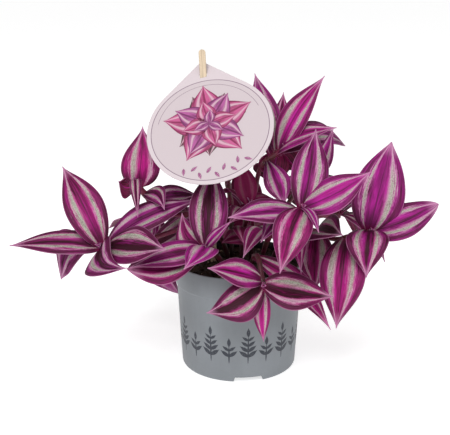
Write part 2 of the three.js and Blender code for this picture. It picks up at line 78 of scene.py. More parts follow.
SLOT_CLEARANCE = 0.0003
STICK_FOOT = (-0.020, 0.009, 0.072)
STICK_ABOVE_SLOT = 0.021
STICK_POINT = 0.009  # length of the pointed foot
CAMERA_PLACE = (0, -0.720, 0.329)
CAMERA_TURN = (74.06, 0.0, 0.91)

# ---- The leafy stems ----
# Each stem has its route, in millimetres, from its foot in the soil to its bud, and its leaves.
# at: the place along the stem, from 0 at the foot to 1 at the bud. tip: where the leaf ends.
# width: how wide it is at its widest, in millimetres. faces: the way its upper side looks.
# arch and bend: how far it bows up and sideways, as shares of its length.
# glow: from 0, a dark maroon middle, to 1, a vivid magenta one, partly the leaf's own tone and partly
# painted shade; below 0, crimson and faintly banded, as painted shade deep in the plant.
# crease: how sharply it is folded. full: above 0 makes its tip blunter.
# low: under 0.8 puts its widest part nearer its base, and over 0.8 nearer its tip.
Leaf = namedtuple(
    "Leaf", "at tip width arch faces glow bend crease low full", defaults=(0.5, 0.0, 1.0, 0.8, 0.0)
)

STEMS = {
    "stem_far_left": ([(-16, -6), (-38, -14, 117), (-70, -24, 113), (-106, -34, 109)], [
        Leaf(1.0, (-141, 0, 165), 31, 0.1, (-0.1, -0.75, 0.5), 0.55, 0.035),
        Leaf(1.0, (-180, -30, 108), 26, 0.05, (0, -0.6, 0.8), 0.35, low=0.7),
        Leaf(0.97, (-53, -78, 121), 33, 0.02, (0, -0.75, 0.6), 0.1),
        Leaf(1.0, (-81, -82, 108), 30, 0.1, (0, -1, 0.35), 0.15, 0.2, low=0.5),
        Leaf(1.0, (-143, -18, 76), 30, 0.0, (-0.3, -0.9, 0.2), 0.45, 0.33, low=1.3, full=0.2),
        Leaf(0.97, (-31, -14, 142), 27, 0.12, (0, -0.45, 0.85), 0.5),
        Leaf(0.72, (-64, -34, 134), 12, 0.1, (-0.2, -0.9, 0.3), 0.7, crease=1.4),
    ]),
    "stem_upper_left": ([(-10, 14), (-27, 6, 122), (-62, -2, 128), (-81, -8, 153)], [
        Leaf(0.98, (-77, 8, 196), 31, 0.1, (0, -1, 0.1), 0.75, 0.02, low=0.6),
        Leaf(1.0, (-78, -34, 133), 9, 0.5, (0, -0.8, 1), 0.3, crease=2.6),
        Leaf(1.0, (-95, -12, 156), 20, 0.1, (0.2, 1, 0.1), 0.9, 0.35),
        Leaf(0.92, (-57, -38, 140), 15, 0.04, (0.1, -0.9, 0.3), 0.35, -0.15),
        Leaf(0.85, (-33, 4, 141), 21, 0.07, (0, -0.7, 0.7), 0.3),
        Leaf(0.6, (-84, 56, 112), 24, 0.15, (-0.2, 0.4, 0.9), 0.5),
    ]),
    "stem_front_left": ([(-12, -22), (-18, -36, 104), (-25, -50, 113)], [
        Leaf(0.98, (-21, -8, 167), 30, 0.08, (0, -1, 0.25), 0.15),
        Leaf(0.9, (-44, -32, 136), 22, 0.1, (-0.3, -0.9, 0.2), 0.5, -0.2),
        Leaf(0.93, (-81, -66, 103), 25, 0.05, (0, -0.6, 0.85), 0.5),
        Leaf(1.0, (-40, -84, 108), 25, 0.15, (-0.2, -0.6, 0.7), 0.95, -0.12),
        Leaf(1.0, (-6, -62, 138), 10, 0.1, (-0.5, -0.8, 0.4), 0.8, crease=1.6),
        Leaf(0.93, (-84, -62, 100), 28, 0.0, (-0.1, -0.7, 0.7), 0.6, -0.14, low=1.5, full=0.5),
    ]),
    "stem_upper_right": ([(10, 10), (13, 4, 145), (18, 2, 166), (33, -4, 180)], [
        Leaf(0.92, (12, 30, 235.5), 24, 0.08, (0.1, -1, 0.1), 0.5),
        Leaf(0.95, (35, 20, 222), 17, 0.05, (0, -1, 0.2), 0.6),
        Leaf(0.98, (65, -8, 238.5), 23, 0.1, (-0.2, -0.9, 0.3), 0.75, -0.02),
        Leaf(0.97, (74, -22, 201), 21, 0.15, (0, -0.6, 0.8), 0.75),
        Leaf(0.97, (87, 31, 176), 28, 0.28, (0.1, -0.6, 0.75), 0.5, full=0.4),
        Leaf(0.87, (35, -30, 142), 21, 0.12, (0, -0.9, 0.4), 0.75, low=1.3),
        Leaf(0.97, (27, -6, 153), 26, 0.25, (0, 1, 0.3), -0.7),
        Leaf(0.95, (48, 0, 161), 22, 0.2, (0.2, 1, 0.3), -0.6),
        Leaf(0.85, (22, 12, 151), 18, 0.2, (-0.2, 0.6, 0.5), -0.8),
        Leaf(0.32, (21, -10, 114), 15, 0.2, (0.4, -0.5, 0.8), 0.1),
    ]),
    "stem_front_right": ([(18, -10), (25, -26, 118), (41, -50, 133), (46, -62, 148)], [
        Leaf(1.0, (57, -34, 202), 28, 0.08, (0.1, -1, 0.2), 0.5),
        Leaf(1.0, (95, -66, 177), 28, 0.03, (0.1, -0.7, 0.7), 1.0, 0.06),
        Leaf(0.95, (-8, -80, 146), 27, 0.07, (-0.1, -0.6, 0.8), 0.6),
        Leaf(1.0, (29, -98, 110), 28, 0.2, (-0.1, -0.75, 0.6), 0.5),
        Leaf(1.0, (57, -84, 136), 9, 0.2, (0.4, -0.8, 0.4), 0.8, crease=1.4),
        Leaf(0.7, (16, -66, 123), 17, 0.3, (-0.2, -0.5, 0.8), 0.6),
        Leaf(0.45, (3, -60, 109), 19, 0.3, (-0.2, -0.5, 0.8), 0.5),
    ]),
    "stem_right": ([(20, 14), (44, 14, 138), (58, 4, 158)], [
        Leaf(1.0, (72, -16, 200), 16, 0.16, (0.2, -1, 0.2), 0.7),
        Leaf(0.9, (36, -2, 146), 20, 0.1, (-0.3, -0.5, 0.8), -0.3),
        Leaf(0.97, (80, 44, 138), 26, 0.1, (0.1, 0, 0.9), 0.5),
        Leaf(0.9, (66, 25, 189), 24, 0.1, (0, 0.9, 0.3), 0.4, 0.16, low=1.2),
    ]),
    "stem_far_right": ([(27, -2), (46, -8, 118), (75, -24, 113), (100, -34, 122)], [
        Leaf(1.0, (117, -16, 189), 41, 0.1, (-0.05, -1, 0.2), 0.7, -0.015, low=0.76, full=0.3),
        Leaf(1.0, (151, -40, 146), 29, 0.03, (0.1, -0.75, 0.6), 0.6, 0.04, full=0.6),
        Leaf(1.0, (95, -66, 96), 32, 0.32, (0, -0.7, 0.7), 0.4, 0.06),
        Leaf(0.84, (75, -56, 51), 35, 0.25, (-0.1, -0.85, 0.5), 0.6, -0.02),
        Leaf(0.62, (59, -42, 76), 28, 0.18, (-0.2, -0.8, 0.5), 0.5),
        Leaf(0.62, (77, -60, 127), 30, 0.12, (0, -0.8, 0.5), 0.15),
        Leaf(0.5, (47, -58, 96), 16, 0.25, (-0.2, -0.8, 0.5), 0.8),
        Leaf(0.3, (34, -35, 107), 19, 0.25, (0, -0.6, 0.8), 0.3),
    ]),
    "stem_front": ([(8, -27), (14, -46, 106), (18, -66, 90)], [
        Leaf(0.95, (-23, -78, 107), 25, 0.06, (0, -0.6, 0.8), 0.65),
        Leaf(1.0, (-24, -76, 71), 30, 0.05, (-0.1, -0.85, 0.5), 0.0, -0.12),
        Leaf(1.0, (70, -72, 83), 31, 0.04, (0.1, -0.75, 0.65), 0.25, 0.05),
        Leaf(1.0, (19, -68, 45), 13, 0.12, (0, -0.95, 0.3), 1.0, 0.04),
        Leaf(0.55, (70, -64, 53), 19, 0.05, (0, -0.95, 0.3), 0.9, -0.08),
    ]),
    "stem_centre": ([(2, 2), (4, 0, 112), (8, -8, 136)], [
        Leaf(1.0, (0, -2, 172), 18, 0.1, (0, -1, 0.2), -0.85),
        Leaf(0.95, (-17, 24, 137), 20, 0.2, (0, 0.4, 0.9), -0.6),
        Leaf(1.0, (27, -2, 140), 18, 0.05, (0, -0.5, 0.8), -0.7),
        Leaf(0.8, (-8, -34, 128), 20, 0.25, (0, -0.5, 0.8), -0.35),
        Leaf(0.62, (4, -26, 108), 18, 0.3, (0, -0.5, 0.8), -0.5),
        Leaf(0.5, (-14, -14, 106), 17, 0.2, (0, -0.6, 0.8), -0.6),
    ]),
    "stem_back_centre": ([(-6, 24), (-8, 38, 130), (-14, 42, 165)], [
        Leaf(1.0, (-26, 66, 212), 28, 0.1, (0.2, -0.6, 0.4), 0.6),
        Leaf(1.0, (-66, 62, 170), 28, 0.15, (0, 0.4, 0.9), 0.4),
        Leaf(1.0, (30, 66, 182), 28, 0.15, (0, 0.4, 0.9), 0.7),
        Leaf(1.0, (-18, 102, 150), 30, 0.2, (0, 0.4, 0.9), 0.5),
        Leaf(0.75, (20, 36, 158), 24, 0.2, (0, 0.2, 0.9), 0.3),
        Leaf(0.6, (-88, 30, 78), 36, 0.03, (-0.1, -0.5, 0.8), -0.2),
        Leaf(0.44, (-31, 35, 113), 28, 0.12, (0, -0.8, 0.5), -0.7),
        Leaf(0.4, (28, 41, 113), 28, 0.12, (0, -0.8, 0.5), -0.7),
    ]),
    "stem_back_left": ([(-26, 24), (-50, 46, 110), (-74, 62, 102)], [
        Leaf(1.0, (-120, 92, 86), 30, 0.1, (0, 0.3, 0.9), 0.6),
        Leaf(1.0, (-98, 112, 62), 28, 0.15, (-0.4, 0.5, 0.8), 0.3),
        Leaf(1.0, (-112, 28, 84), 26, 0.15, (-0.2, 0, 0.9), 0.5),
        Leaf(0.95, (-50, 98, 120), 28, 0.1, (-0.4, 0.7, 0.3), 0.8),
        Leaf(0.8, (-52, 108, 80), 24, 0.2, (0, 0.4, 0.9), 0.4),
        Leaf(0.95, (-53, 42, 42), 34, 0.1, (-0.2, -0.9, 0.3), 0.85, 0.19, full=0.5),
    ]),
    "stem_back": ([(2, 32), (8, 56, 108), (10, 76, 98)], [
        Leaf(1.0, (8, 118, 58), 32, 0.2, (0, 0.6, 0.8), 0.5),
        Leaf(1.0, (-36, 100, 50), 26, 0.2, (-0.2, 0.6, 0.7), 0.7),
        Leaf(1.0, (56, 98, 82), 28, 0.2, (0, 0.5, 0.8), 0.3),
        Leaf(0.97, (-2, 104, 150), 30, 0.1, (0, 0.9, 0.2), 0.6),
        Leaf(0.7, (-28, 86, 122), 24, 0.2, (0, 0.4, 0.9), 0.4),
    ]),
    "stem_back_right": ([(32, 18), (58, 36, 112), (86, 48, 112)], [
        Leaf(1.0, (140, 66, 122), 30, 0.15, (0, 0.2, 0.9), 0.5),
        Leaf(1.0, (112, 92, 68), 28, 0.2, (0.3, 0.5, 0.8), 0.7),
        Leaf(1.0, (26, 64, 138), 34, 0.1, (0.2, 0.7, 0.2), 0.4),
        Leaf(1.0, (122, 18, 80), 26, 0.2, (0.2, 0, 0.9), 0.6),
        Leaf(0.75, (52, 102, 118), 24, 0.2, (0, 0.4, 0.9), 0.3),
    ]),
}


# ---- Settings that a user would change ----
def length(name, description, default):
    about = {"name": name, "description": description, "default": default}
    return FloatProperty(**about, min=0.0001, max=1.0, subtype="DISTANCE", unit="LENGTH")


def colour(name, description, default):
    about = {"name": name, "description": description, "default": default}
    return FloatVectorProperty(**about, size=3, min=0.0, max=1.0, subtype="COLOR")


def amount(name, description, default, low=0, high=2, kind=FloatProperty):
    return kind(name=name, description=description, default=default, min=low, max=high)


class PotSettings(bpy.types.PropertyGroup):
    height: length("Height", "From the table to the lip", 0.089)
    rim_radius: length("Rim radius", "Outside radius at the lip", 0.0525)
    body_radius: length("Body radius", "Outside radius just under the band", 0.0507)
    base_radius: length("Base radius", "Outside radius just above the rounded foot", 0.047)
    band: length("Band", "Height of the band round the mouth", 0.018)
    wall: length("Wall", "Thickness of the plastic", 0.0013)
    notch_width: length("Notch width", "Width of each drainage notch in the foot", 0.025)
    notch_height: length("Notch height", "Height of each drainage notch", 0.0046)
    plastic: colour("Plastic", "Colour of the pot", (0.196, 0.212, 0.228))
    print_ink: colour("Print", "Colour of the printed sprigs", (0.030, 0.034, 0.046))


class SoilSettings(bpy.types.PropertyGroup):
    level: length("Level", "Height of the soil above the table", 0.082)
    roughness: length("Roughness", "How far the surface rises and falls", 0.0016)
    crumbs: amount("Crumbs", "Loose crumbs on the surface", 420, 0, 900, IntProperty)
    earth: colour("Earth", "Colour of the damp soil", (0.018, 0.010, 0.006))


class LeafSettings(bpy.types.PropertyGroup):
    thickness: length("Thickness", "Thickness of a leaf", 0.0007)
    stem_radius: length("Stem radius", "Radius of a stem between its joints", 0.0021)
    fold: FloatProperty(name="Fold", description="How steeply the halves rise from the midrib", default=0.42)
    curl: FloatProperty(name="Curl", description="How far the margins turn back down", default=0.34)
    magenta: colour("Magenta", "Vivid middle of a young leaf", (0.44, 0.013, 0.285))
    maroon: colour("Maroon", "Dark middle of an old leaf", (0.036, 0.003, 0.012))
    purple: colour("Purple", "Margins of a leaf", (0.095, 0.007, 0.045))
    silver: colour("Silver", "The broad pale band of a leaf", (0.46, 0.47, 0.38))
    blush: colour("Blush", "The thin pale band and the tip of a leaf", (0.60, 0.28, 0.46))
    underside: colour("Underside", "Lower side of a leaf", (0.21, 0.005, 0.065))


class CardSettings(bpy.types.PropertyGroup):
    radius: length("Radius", "Radius of the card's round part", 0.050)
    apex: length("Apex", "From the round part's centre to the point", 0.067)
    thickness: length("Thickness", "Thickness of the card", 0.0008)
    paper: colour("Paper", "Colour of the card", (0.57, 0.49, 0.515))
    line: colour("Line", "Colour of the thin printed rings", (0.20, 0.13, 0.18))


class StickSettings(bpy.types.PropertyGroup):
    width: length("Width", "Width of the stick", 0.0055)
    thickness: length("Thickness", "Thickness of the stick", 0.0022)
    wood: colour("Wood", "Colour of the wood", (0.66, 0.53, 0.38))


class StageSettings(bpy.types.PropertyGroup):
    floor: colour("Floor", "Colour of the floor", (0.85, 0.85, 0.85))
    floor_glow: amount("Floor glow", "Light from under the floor", 0.62)
    lens: amount("Lens", "Focal length in millimetres", 74.2, 10, 300)
    sky: amount("Sky", "Strength of the light from all round", 0.42, 0, 5)


# ---- Working by hand ----
def pick_all():
    bpy.ops.mesh.select_all(action="SELECT")


def stop_editing():
    bpy.ops.object.mode_set(mode="OBJECT")


def apply_place():
    bpy.ops.object.transform_apply(location=True, rotation=False, scale=False)


def put_tools_down():
    """Object mode, with nothing selected."""
    if bpy.context.object and bpy.context.object.mode != "OBJECT":
        stop_editing()
    bpy.ops.object.select_all(action="DESELECT")


def take(*pieces):
    put_tools_down()
    for piece in pieces:
        piece.select_set(True)
    bpy.context.view_layer.objects.active = pieces[0]
    return pieces[0]


def start(name):
    """Names the primitive just added, and opens it in edit mode."""
    piece = bpy.context.object
    piece.name = piece.data.name = name
    bpy.ops.object.mode_set(mode="EDIT")
    return piece


def pick(piece, test, kind="verts"):
    """Selects, in edit mode, the points or faces whose centre passes the test."""
    mesh = bmesh.from_edit_mesh(piece.data)
    for face in mesh.faces:
        face.select_set(False)
    for edge in mesh.edges:
        edge.select_set(False)
    for vert in mesh.verts:
        vert.select_set(False)
    for item in getattr(mesh, kind):
        corners = [item] if kind == "verts" else item.verts
        place = sum((corner.co for corner in corners), Vector()) / len(corners)
        if test(place, item):
            item.select_set(True)
    mesh.select_flush_mode()
    bmesh.update_edit_mesh(piece.data)


def edit_kind(kind):
    bpy.ops.mesh.select_mode(type=kind)


def move(x=0.0, y=0.0, z=0.0):
    bpy.ops.transform.translate(value=(x, y, z))


def stretch(x=1.0, y=1.0, z=1.0, centre=(0, 0, 0)):
    bpy.ops.transform.resize(value=(x, y, z), center_override=centre)


def apply(piece, kind, **settings):
    """Adds a modifier and applies it."""
    take(piece)
    modifier = piece.modifiers.new(kind.title(), kind)
    for key, value in settings.items():
        setattr(modifier, key, value)
    bpy.ops.object.modifier_apply(modifier=modifier.name)


def cut(piece, tool, how):
    """Joins, cuts or trims a piece with another, which is then thrown away."""
    apply(piece, "BOOLEAN", object=tool, operation=how, solver="EXACT")
    throw_away(tool)


def outwards(piece):
    take(piece)
    bpy.ops.object.mode_set(mode="EDIT")
    pick_all()
    bpy.ops.mesh.remove_doubles(threshold=0.00001)
    bpy.ops.mesh.normals_make_consistent(inside=False)
    stop_editing()


def smooth(piece, degrees=35):
    take(piece)
    bpy.ops.object.shade_smooth_by_angle(angle=math.radians(degrees))


def soften(piece, width, segments, degrees):
    """Bevels the edges that turn more sharply than an angle."""
    limit = math.radians(degrees)
    apply(piece, "BEVEL", width=width, segments=segments, limit_method="ANGLE", angle_limit=limit)


def copy_of(blank, name):
    piece = blank.copy()
    piece.data = blank.data.copy()
    piece.name = piece.data.name = name
    bpy.context.collection.objects.link(piece)
    return piece


def mark(piece, key, value):
    """Gives all of a piece one value that its material reads."""
    layer = piece.data.attributes.new(key, "FLOAT", "POINT")
    layer.data.foreach_set("value", [value] * len(piece.data.vertices))


def throw_away(*tools):
    for tool in tools:
        bpy.data.objects.remove(tool)


def join(pieces, name):
    first = take(*pieces)
    bpy.ops.object.join()
    first.name = first.data.name = name
    return first


def place_in_mesh(piece, matrix):
    piece.data.transform(matrix)
    piece.data.update()


def dress(piece, *materials):
    piece.data.materials.clear()
    for material in materials:
        piece.data.materials.append(material)


def hand_over(piece, slot, *nodes):
    """Gives a finished piece its place in the part."""
    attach(piece, "root")
    if nodes:
        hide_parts(*nodes)


# ---- Materials ----
def shade(tone, factor):
    return tuple(factor * part for part in tone)


class Recipe:
    """A material's nodes, written from the pattern to the shader."""

    def __init__(self, name, **shader):
        self.material = bpy.data.materials.new(name)
        self.material.use_nodes = True
        self.tree = self.material.node_tree
        self.shader = self.tree.nodes["Principled BSDF"]
        for key, value in shader.items():
            self.shader.inputs[key.replace("_", " ")].default_value = value

    def add(self, kind, inputs=(), **settings):
        node = self.tree.nodes.new("ShaderNode" + kind)
        for key, value in settings.items():
            setattr(node, key, value)
        for key, value in dict(inputs).items():
            self.feed(node.inputs[key], value)
        return node

    def feed(self, socket, value):
        if isinstance(value, bpy.types.NodeSocket):
            self.tree.links.new(value, socket)
        elif socket.type == "RGBA" and len(value) == 3:
            socket.default_value = (*value, 1.0)
        else:
            socket.default_value = value

    def to_shader(self, **links):
        for key, value in links.items():
            self.feed(self.shader.inputs[key.replace("_", " ")], value)

    def maths(self, operation, a, b=0.0, clamp=False):
        return self.add("Math", {0: a, 1: b}, operation=operation, use_clamp=clamp).outputs[0]

    def times(self, a, b):
        return self.maths("MULTIPLY", a, b)

    def from_middle(self, x, y):
        """How far a place is from the middle of its plane."""
        return self.maths("SQRT", self.maths("ADD", self.times(x, x), self.times(y, y)))

    def own_map(self, name):
        """Where a point lies across and along a flat map."""
        split = self.add("SeparateXYZ", {0: self.add("UVMap", uv_map=name).outputs[0]})
        return split.outputs[0], split.outputs[1]

    def fade(self, value, low, high, start=0.0, end=1.0):
        """Goes smoothly from start to end as the value goes from low to high."""
        inputs = {"Value": value, "From Min": low, "From Max": high, "To Min": start, "To Max": end}
        return self.add("MapRange", inputs, interpolation_type="SMOOTHSTEP").outputs["Result"]

    def blend(self, share, a, b, how="MIX"):
        node = self.add("Mix", data_type="RGBA", blend_type=how)
        for socket, value in ((node.inputs[0], share), (node.inputs[6], a), (node.inputs[7], b)):
            self.feed(socket, value)
        return node.outputs[2]

    def vector(self, x=0.0, y=0.0, z=0.0):
        return self.add("CombineXYZ", {0: x, 1: y, 2: z}).outputs[0]

    def noise(self, vector, scale, detail=2.0, roughness=0.5):
        inputs = {"Vector": vector, "Scale": scale, "Detail": detail, "Roughness": roughness}
        return self.add("TexNoise", inputs).outputs["Fac"]

    def place(self):
        return self.add("TexCoord").outputs["Object"]

    def own(self, name):
        return self.add("Attribute", attribute_name=name).outputs["Fac"]

    def bump(self, height, strength, distance):
        inputs = {"Height": height, "Strength": strength, "Distance": distance}
        self.to_shader(Normal=self.add("Bump", inputs).outputs[0])


def leaf_top(settings):
    """A magenta or maroon blade, streaked lengthwise, with a pale band along each half."""
    recipe = Recipe("leaf_upper_side", Specular_IOR_Level=0.16)
    maths, times, fade, blend = recipe.maths, recipe.times, recipe.fade, recipe.blend
    across, along = recipe.own_map("blade")
    # The glow attribute holds each leaf's own tone and also painted shade for leaves in dark places.
    seed, glow = recipe.own("leaf_seed"), recipe.own("leaf_glow")
    off_rib = maths("SUBTRACT", across, 0.5)
    from_rib = times(maths("ABSOLUTE", off_rib), 2.0)
    far = times(seed, 40.0)

    def streaks(across_scale, along_scale, apart):
        spot = recipe.vector(
            times(across, across_scale), times(along, along_scale), maths("ADD", far, apart)
        )
        return maths("SUBTRACT", recipe.noise(spot, 1.0, 3.0, 0.6), 0.5)

    def total(*terms):
        result = terms[0]
        for value, share in terms[1:]:
            result = maths("ADD", result, times(value, share))
        return result

    fine, thread = streaks(34.0, 3.4, 0.0), streaks(100.0, 9.0, 21.0)
    broad, patchy = streaks(9.0, 1.8, 7.0), streaks(4.0, 5.0, 13.0)
    mottle = streaks(46.0, 30.0, 33.0)
    ragged = total(from_rib, (fine, 0.26), (thread, 0.16), (broad, 0.40), (mottle, 0.16))

    # The silver band is broader on one half, nearer to the rib, and thinner and pinker on the other.
    second_seed = maths("SUBTRACT", maths("FRACT", times(seed, 7.3)), 0.5)
    lean = times(maths("SIGN", off_rib), times(second_seed, 2.0))
    centre = total(0.47, (lean, -0.07))
    reach = total(0.185, (lean, 0.050))
    reach = times(reach, fade(along, 0.0, 0.30, 0.45, 1.0))
    reach = times(reach, fade(along, 0.45, 1.0, 1.0, 0.5))
    reach = total(reach, (patchy, 0.09))
    off_band = maths("DIVIDE", maths("ABSOLUTE", maths("SUBTRACT", ragged, centre)), reach)
    band = fade(off_band, 0.55, 1.45, 1.0, 0.0)
    core = fade(off_band, 0.10, 1.05, 1.0, 0.0)

    lit = total(maths("SUBTRACT", glow, 0.1), (fine, 1.1), (thread, 0.8), (broad, 2.0))
    # Near the rib the middle darkens: partly the leaf's own dark midrib streak, partly painted shade in the
    # fold.
    lit = maths("SUBTRACT", lit, fade(from_rib, 0.0, 0.22, 0.2, 0.0), clamp=True)
    hue = fade(total(second_seed, (broad, 1.2)), -0.4, 0.4)
    plainer = tuple(a * b for a, b in zip(settings.magenta, (1.06, 0.5, 0.72)))
    vivid = blend(hue, plainer, settings.magenta)
    middle = blend(lit, settings.maroon, vivid)
    streaky = total(-0.03, (broad, 2.0), (thread, 1.4))
    margin_lit = maths("ADD", times(glow, 0.42), streaky, clamp=True)
    margin = blend(margin_lit, settings.purple, vivid)
    margin = blend(fade(fine, -0.02, 0.2, 0.0, 0.85), margin, settings.maroon)
    ground = blend(fade(ragged, 0.40, 0.58), middle, margin)
    # Painted shade: the ground darkens to maroon towards the leaf's base.
    ground = blend(fade(along, 0.02, 0.34, 0.8, 0.0), ground, settings.maroon)

    grain = recipe.noise(recipe.place(), 1500.0, 2.0, 0.7)
    pale = blend(fade(grain, 0.35, 0.65), shade(settings.silver, 0.5), settings.silver)
    pinker = maths("MAXIMUM", fade(along, 0.5, 1.0, 0.0, 0.8), fade(lean, -1.0, -0.4, 0.6, 0.0))
    pale = blend(maths("MAXIMUM", pinker, fade(glow, 0.5, 1.0, 0.0, 0.15)), pale, settings.blush)
    fringe = blend(fade(fine, -0.22, 0.10), settings.blush, vivid)
    pale = blend(core, fringe, pale)
    frayed = fade(total(fine, (thread, 0.5), (mottle, 0.9)), 0.02, 0.32, 0.97, 0.35)
    skin = blend(times(band, frayed), ground, pale)
    skin = blend(fade(total(thread, (patchy, 0.8)), 0.0, 0.24, 0.0, 0.42), skin, settings.maroon)
    tip = times(fade(along, 0.80, 1.0), fade(broad, -0.2, 0.1, 0.3, 0.8))
    skin = blend(tip, skin, settings.blush)
    rib = times(fade(from_rib, 0.01, 0.05, 0.55, 0.0), fade(along, 0.6, 0.9, 1.0, 0.0))
    skin = blend(rib, skin, settings.maroon)
    # Painted shade: the base of the leaf is painted in the underside's crimson.
    skin = blend(fade(along, 0.0, 0.10, 0.85, 0.0), skin, settings.underside)
    skin = blend(fade(from_rib, 0.95, 0.985, 0.0, 0.4), skin, settings.blush)
    # Painted shade: leaves deep in the plant, whose glow is below 0, are painted crimson with faint bands.
    skin = blend(fade(glow, -1.0, 0.0, 0.92, 0.0), skin, settings.underside)
    recipe.to_shader(Base_Color=skin)

    recipe.to_shader(Roughness=fade(total(band, (grain, 0.3)), 0.0, 1.3, 0.54, 0.42))
    veins = maths("SINE", times(across, 120.0))
    recipe.bump(total(fine, (veins, 0.35), (grain, 0.4)), 0.35, 0.0004)
    return recipe.material


def leaf_under(settings):
    recipe = Recipe("leaf_underside", Roughness=0.5, Specular_IOR_Level=0.2)
    across, along = recipe.own_map("blade")
    far = recipe.times(recipe.own("leaf_seed"), 30.0)
    spot = recipe.vector(recipe.times(across, 26.0), recipe.times(along, 2.0), far)
    streak = recipe.noise(spot, 1.0, 3.0)
    skin = recipe.blend(recipe.fade(streak, 0.3, 0.7), settings.maroon, settings.underside)
    off_rib = recipe.maths("ABSOLUTE", recipe.maths("SUBTRACT", across, 0.5))
    rib = recipe.fade(off_rib, 0.0, 0.03, 0.6, 0.0)
    skin = recipe.blend(rib, skin, settings.magenta)
    recipe.to_shader(Base_Color=skin)
    recipe.bump(streak, 0.3, 0.0004)
    return recipe.material


def stem_skin(settings):
    recipe = Recipe("stem_skin", Roughness=0.42, Specular_IOR_Level=0.4)
    place = recipe.place()
    patch = recipe.noise(place, 90.0, 3.0)
    speck = recipe.noise(place, 700.0, 2.0)
    green, flush = (0.070, 0.030, 0.018), (0.17, 0.008, 0.045)
    skin = recipe.blend(recipe.fade(patch, 0.34, 0.54), green, flush)
    skin = recipe.blend(recipe.fade(speck, 0.55, 0.75, 0.0, 0.5), skin, settings.maroon)
    # Painted shade: the stem darkens to near black below about 125 mm, inside the plant.
    height = recipe.add("SeparateXYZ", {0: place}).outputs[2]
    skin = recipe.blend(recipe.fade(height, 0.085, 0.125, 0.85, 0.0), skin, (0.016, 0.007, 0.006))
    recipe.to_shader(Base_Color=skin)
    recipe.bump(speck, 0.3, 0.0004)
    return recipe.material


def pot_plastic(settings):
    """Moulded grey plastic, a little cloudy, with faint upright flow lines, and painted shade darkening its
    inner wall near the mouth.
    """
    recipe = Recipe("pot_plastic", Specular_IOR_Level=0.25)
    maths, times = recipe.maths, recipe.times
    place = recipe.place()
    cloud = recipe.noise(place, 28.0, 3.0)
    drawn_out = recipe.add("Mapping", {"Vector": place, "Scale": (260, 260, 14)}).outputs[0]
    lines = recipe.noise(drawn_out, 1.0, 2.0)
    specks = recipe.noise(place, 1900.0, 1.0)
    base = settings.plastic
    skin = recipe.blend(recipe.fade(cloud, 0.35, 0.65), shade(base, 0.93), shade(base, 1.05))
    skin = recipe.blend(recipe.fade(lines, 0.35, 0.7, 0.0, 0.10), skin, shade(base, 1.25))
    skin = recipe.blend(recipe.fade(specks, 0.68, 0.74, 0.0, 0.4), skin, shade(base, 0.5))
    x, y, height = recipe.add("SeparateXYZ", {0: place}).outputs
    inner = settings.rim_radius - settings.wall
    within = recipe.fade(recipe.from_middle(x, y), inner + 0.0001, inner + 0.0003, 1.0, 0.0)
    inside = times(within, recipe.fade(height, 0.072, 0.073))
    uneven = maths("ADD", times(cloud, 0.006), height)
    # Painted shade: the inner wall from under the soil up to the lip is darkened to near black.
    painted_inner_shade = times(inside, recipe.fade(uneven, 0.086, 0.092, 0.97, 0.7))
    skin = recipe.blend(painted_inner_shade, skin, (0.012, 0.009, 0.007))
    recipe.to_shader(Base_Color=skin, Roughness=recipe.fade(cloud, 0.3, 0.7, 0.44, 0.54))
    recipe.bump(maths("ADD", times(lines, 0.4), times(specks, 0.4)), 0.10, 0.0003)
    return recipe.material


def pot_print(settings):
    recipe = Recipe("pot_print", Roughness=0.5, Specular_IOR_Level=0.35)
    wear = recipe.noise(recipe.place(), 1200.0, 2.0)
    worn = tuple(0.6 * a + 0.4 * b for a, b in zip(settings.print_ink, settings.plastic))
    recipe.to_shader(Base_Color=recipe.blend(recipe.fade(wear, 0.58, 0.72), settings.print_ink, worn))
    return recipe.material


def damp_soil(settings):
    recipe = Recipe("damp_soil", Roughness=0.85, Specular_IOR_Level=0.3)
    place = recipe.place()
    clods = recipe.noise(place, 260.0, 4.0, 0.65)
    fibre = recipe.noise(place, 1100.0, 3.0, 0.7)
    pale = recipe.own("crumb_pale")
    earth = settings.earth
    skin = recipe.blend(recipe.fade(clods, 0.35, 0.65), earth, shade(earth, 3.0))
    skin = recipe.blend(recipe.fade(fibre, 0.60, 0.74, 0.0, 0.7), skin, (0.12, 0.075, 0.04))
    skin = recipe.blend(recipe.fade(pale, 0.86, 0.97), skin, (0.30, 0.24, 0.17))
    recipe.to_shader(Base_Color=skin, Roughness=recipe.fade(clods, 0.3, 0.7, 0.62, 0.95))
    recipe.bump(recipe.maths("ADD", clods, fibre), 0.8, 0.0012)
    return recipe.material


def card_paper(settings):
    """Coated paper with two thin printed rings, read from the card's own flat map."""
    recipe = Recipe("card_paper", Roughness=0.45, Specular_IOR_Level=0.2)
    maths, times = recipe.maths, recipe.times
    # In millimetres from the centre of the round part.
    x, y = (times(maths("SUBTRACT", share, 0.5), CARD_MAP / MM) for share in recipe.own_map("sheet"))
    out = recipe.from_middle(x, y)

    def ring(radius, half):
        off = maths("ABSOLUTE", maths("SUBTRACT", out, radius))
        return recipe.fade(off, half * 0.6, half * 1.4, 1.0, 0.0)

    fibre = recipe.noise(recipe.vector(x, y), 1.4, 4.0, 0.6)
    skin = recipe.blend(recipe.fade(fibre, 0.3, 0.7), shade(settings.paper, 0.97), settings.paper)
    border = recipe.fade(out, 46.4, 46.8, 0.0, 0.45)
    skin = recipe.blend(border, skin, (0.68, 0.60, 0.63))
    inner = times(ring(42.0, 0.16), recipe.fade(y, 12.0, 14.0))
    skin = recipe.blend(maths("MAXIMUM", ring(46.5, 0.28), inner), skin, settings.line)
    recipe.to_shader(Base_Color=skin)
    recipe.bump(fibre, 0.08, 0.0003)
    return recipe.material


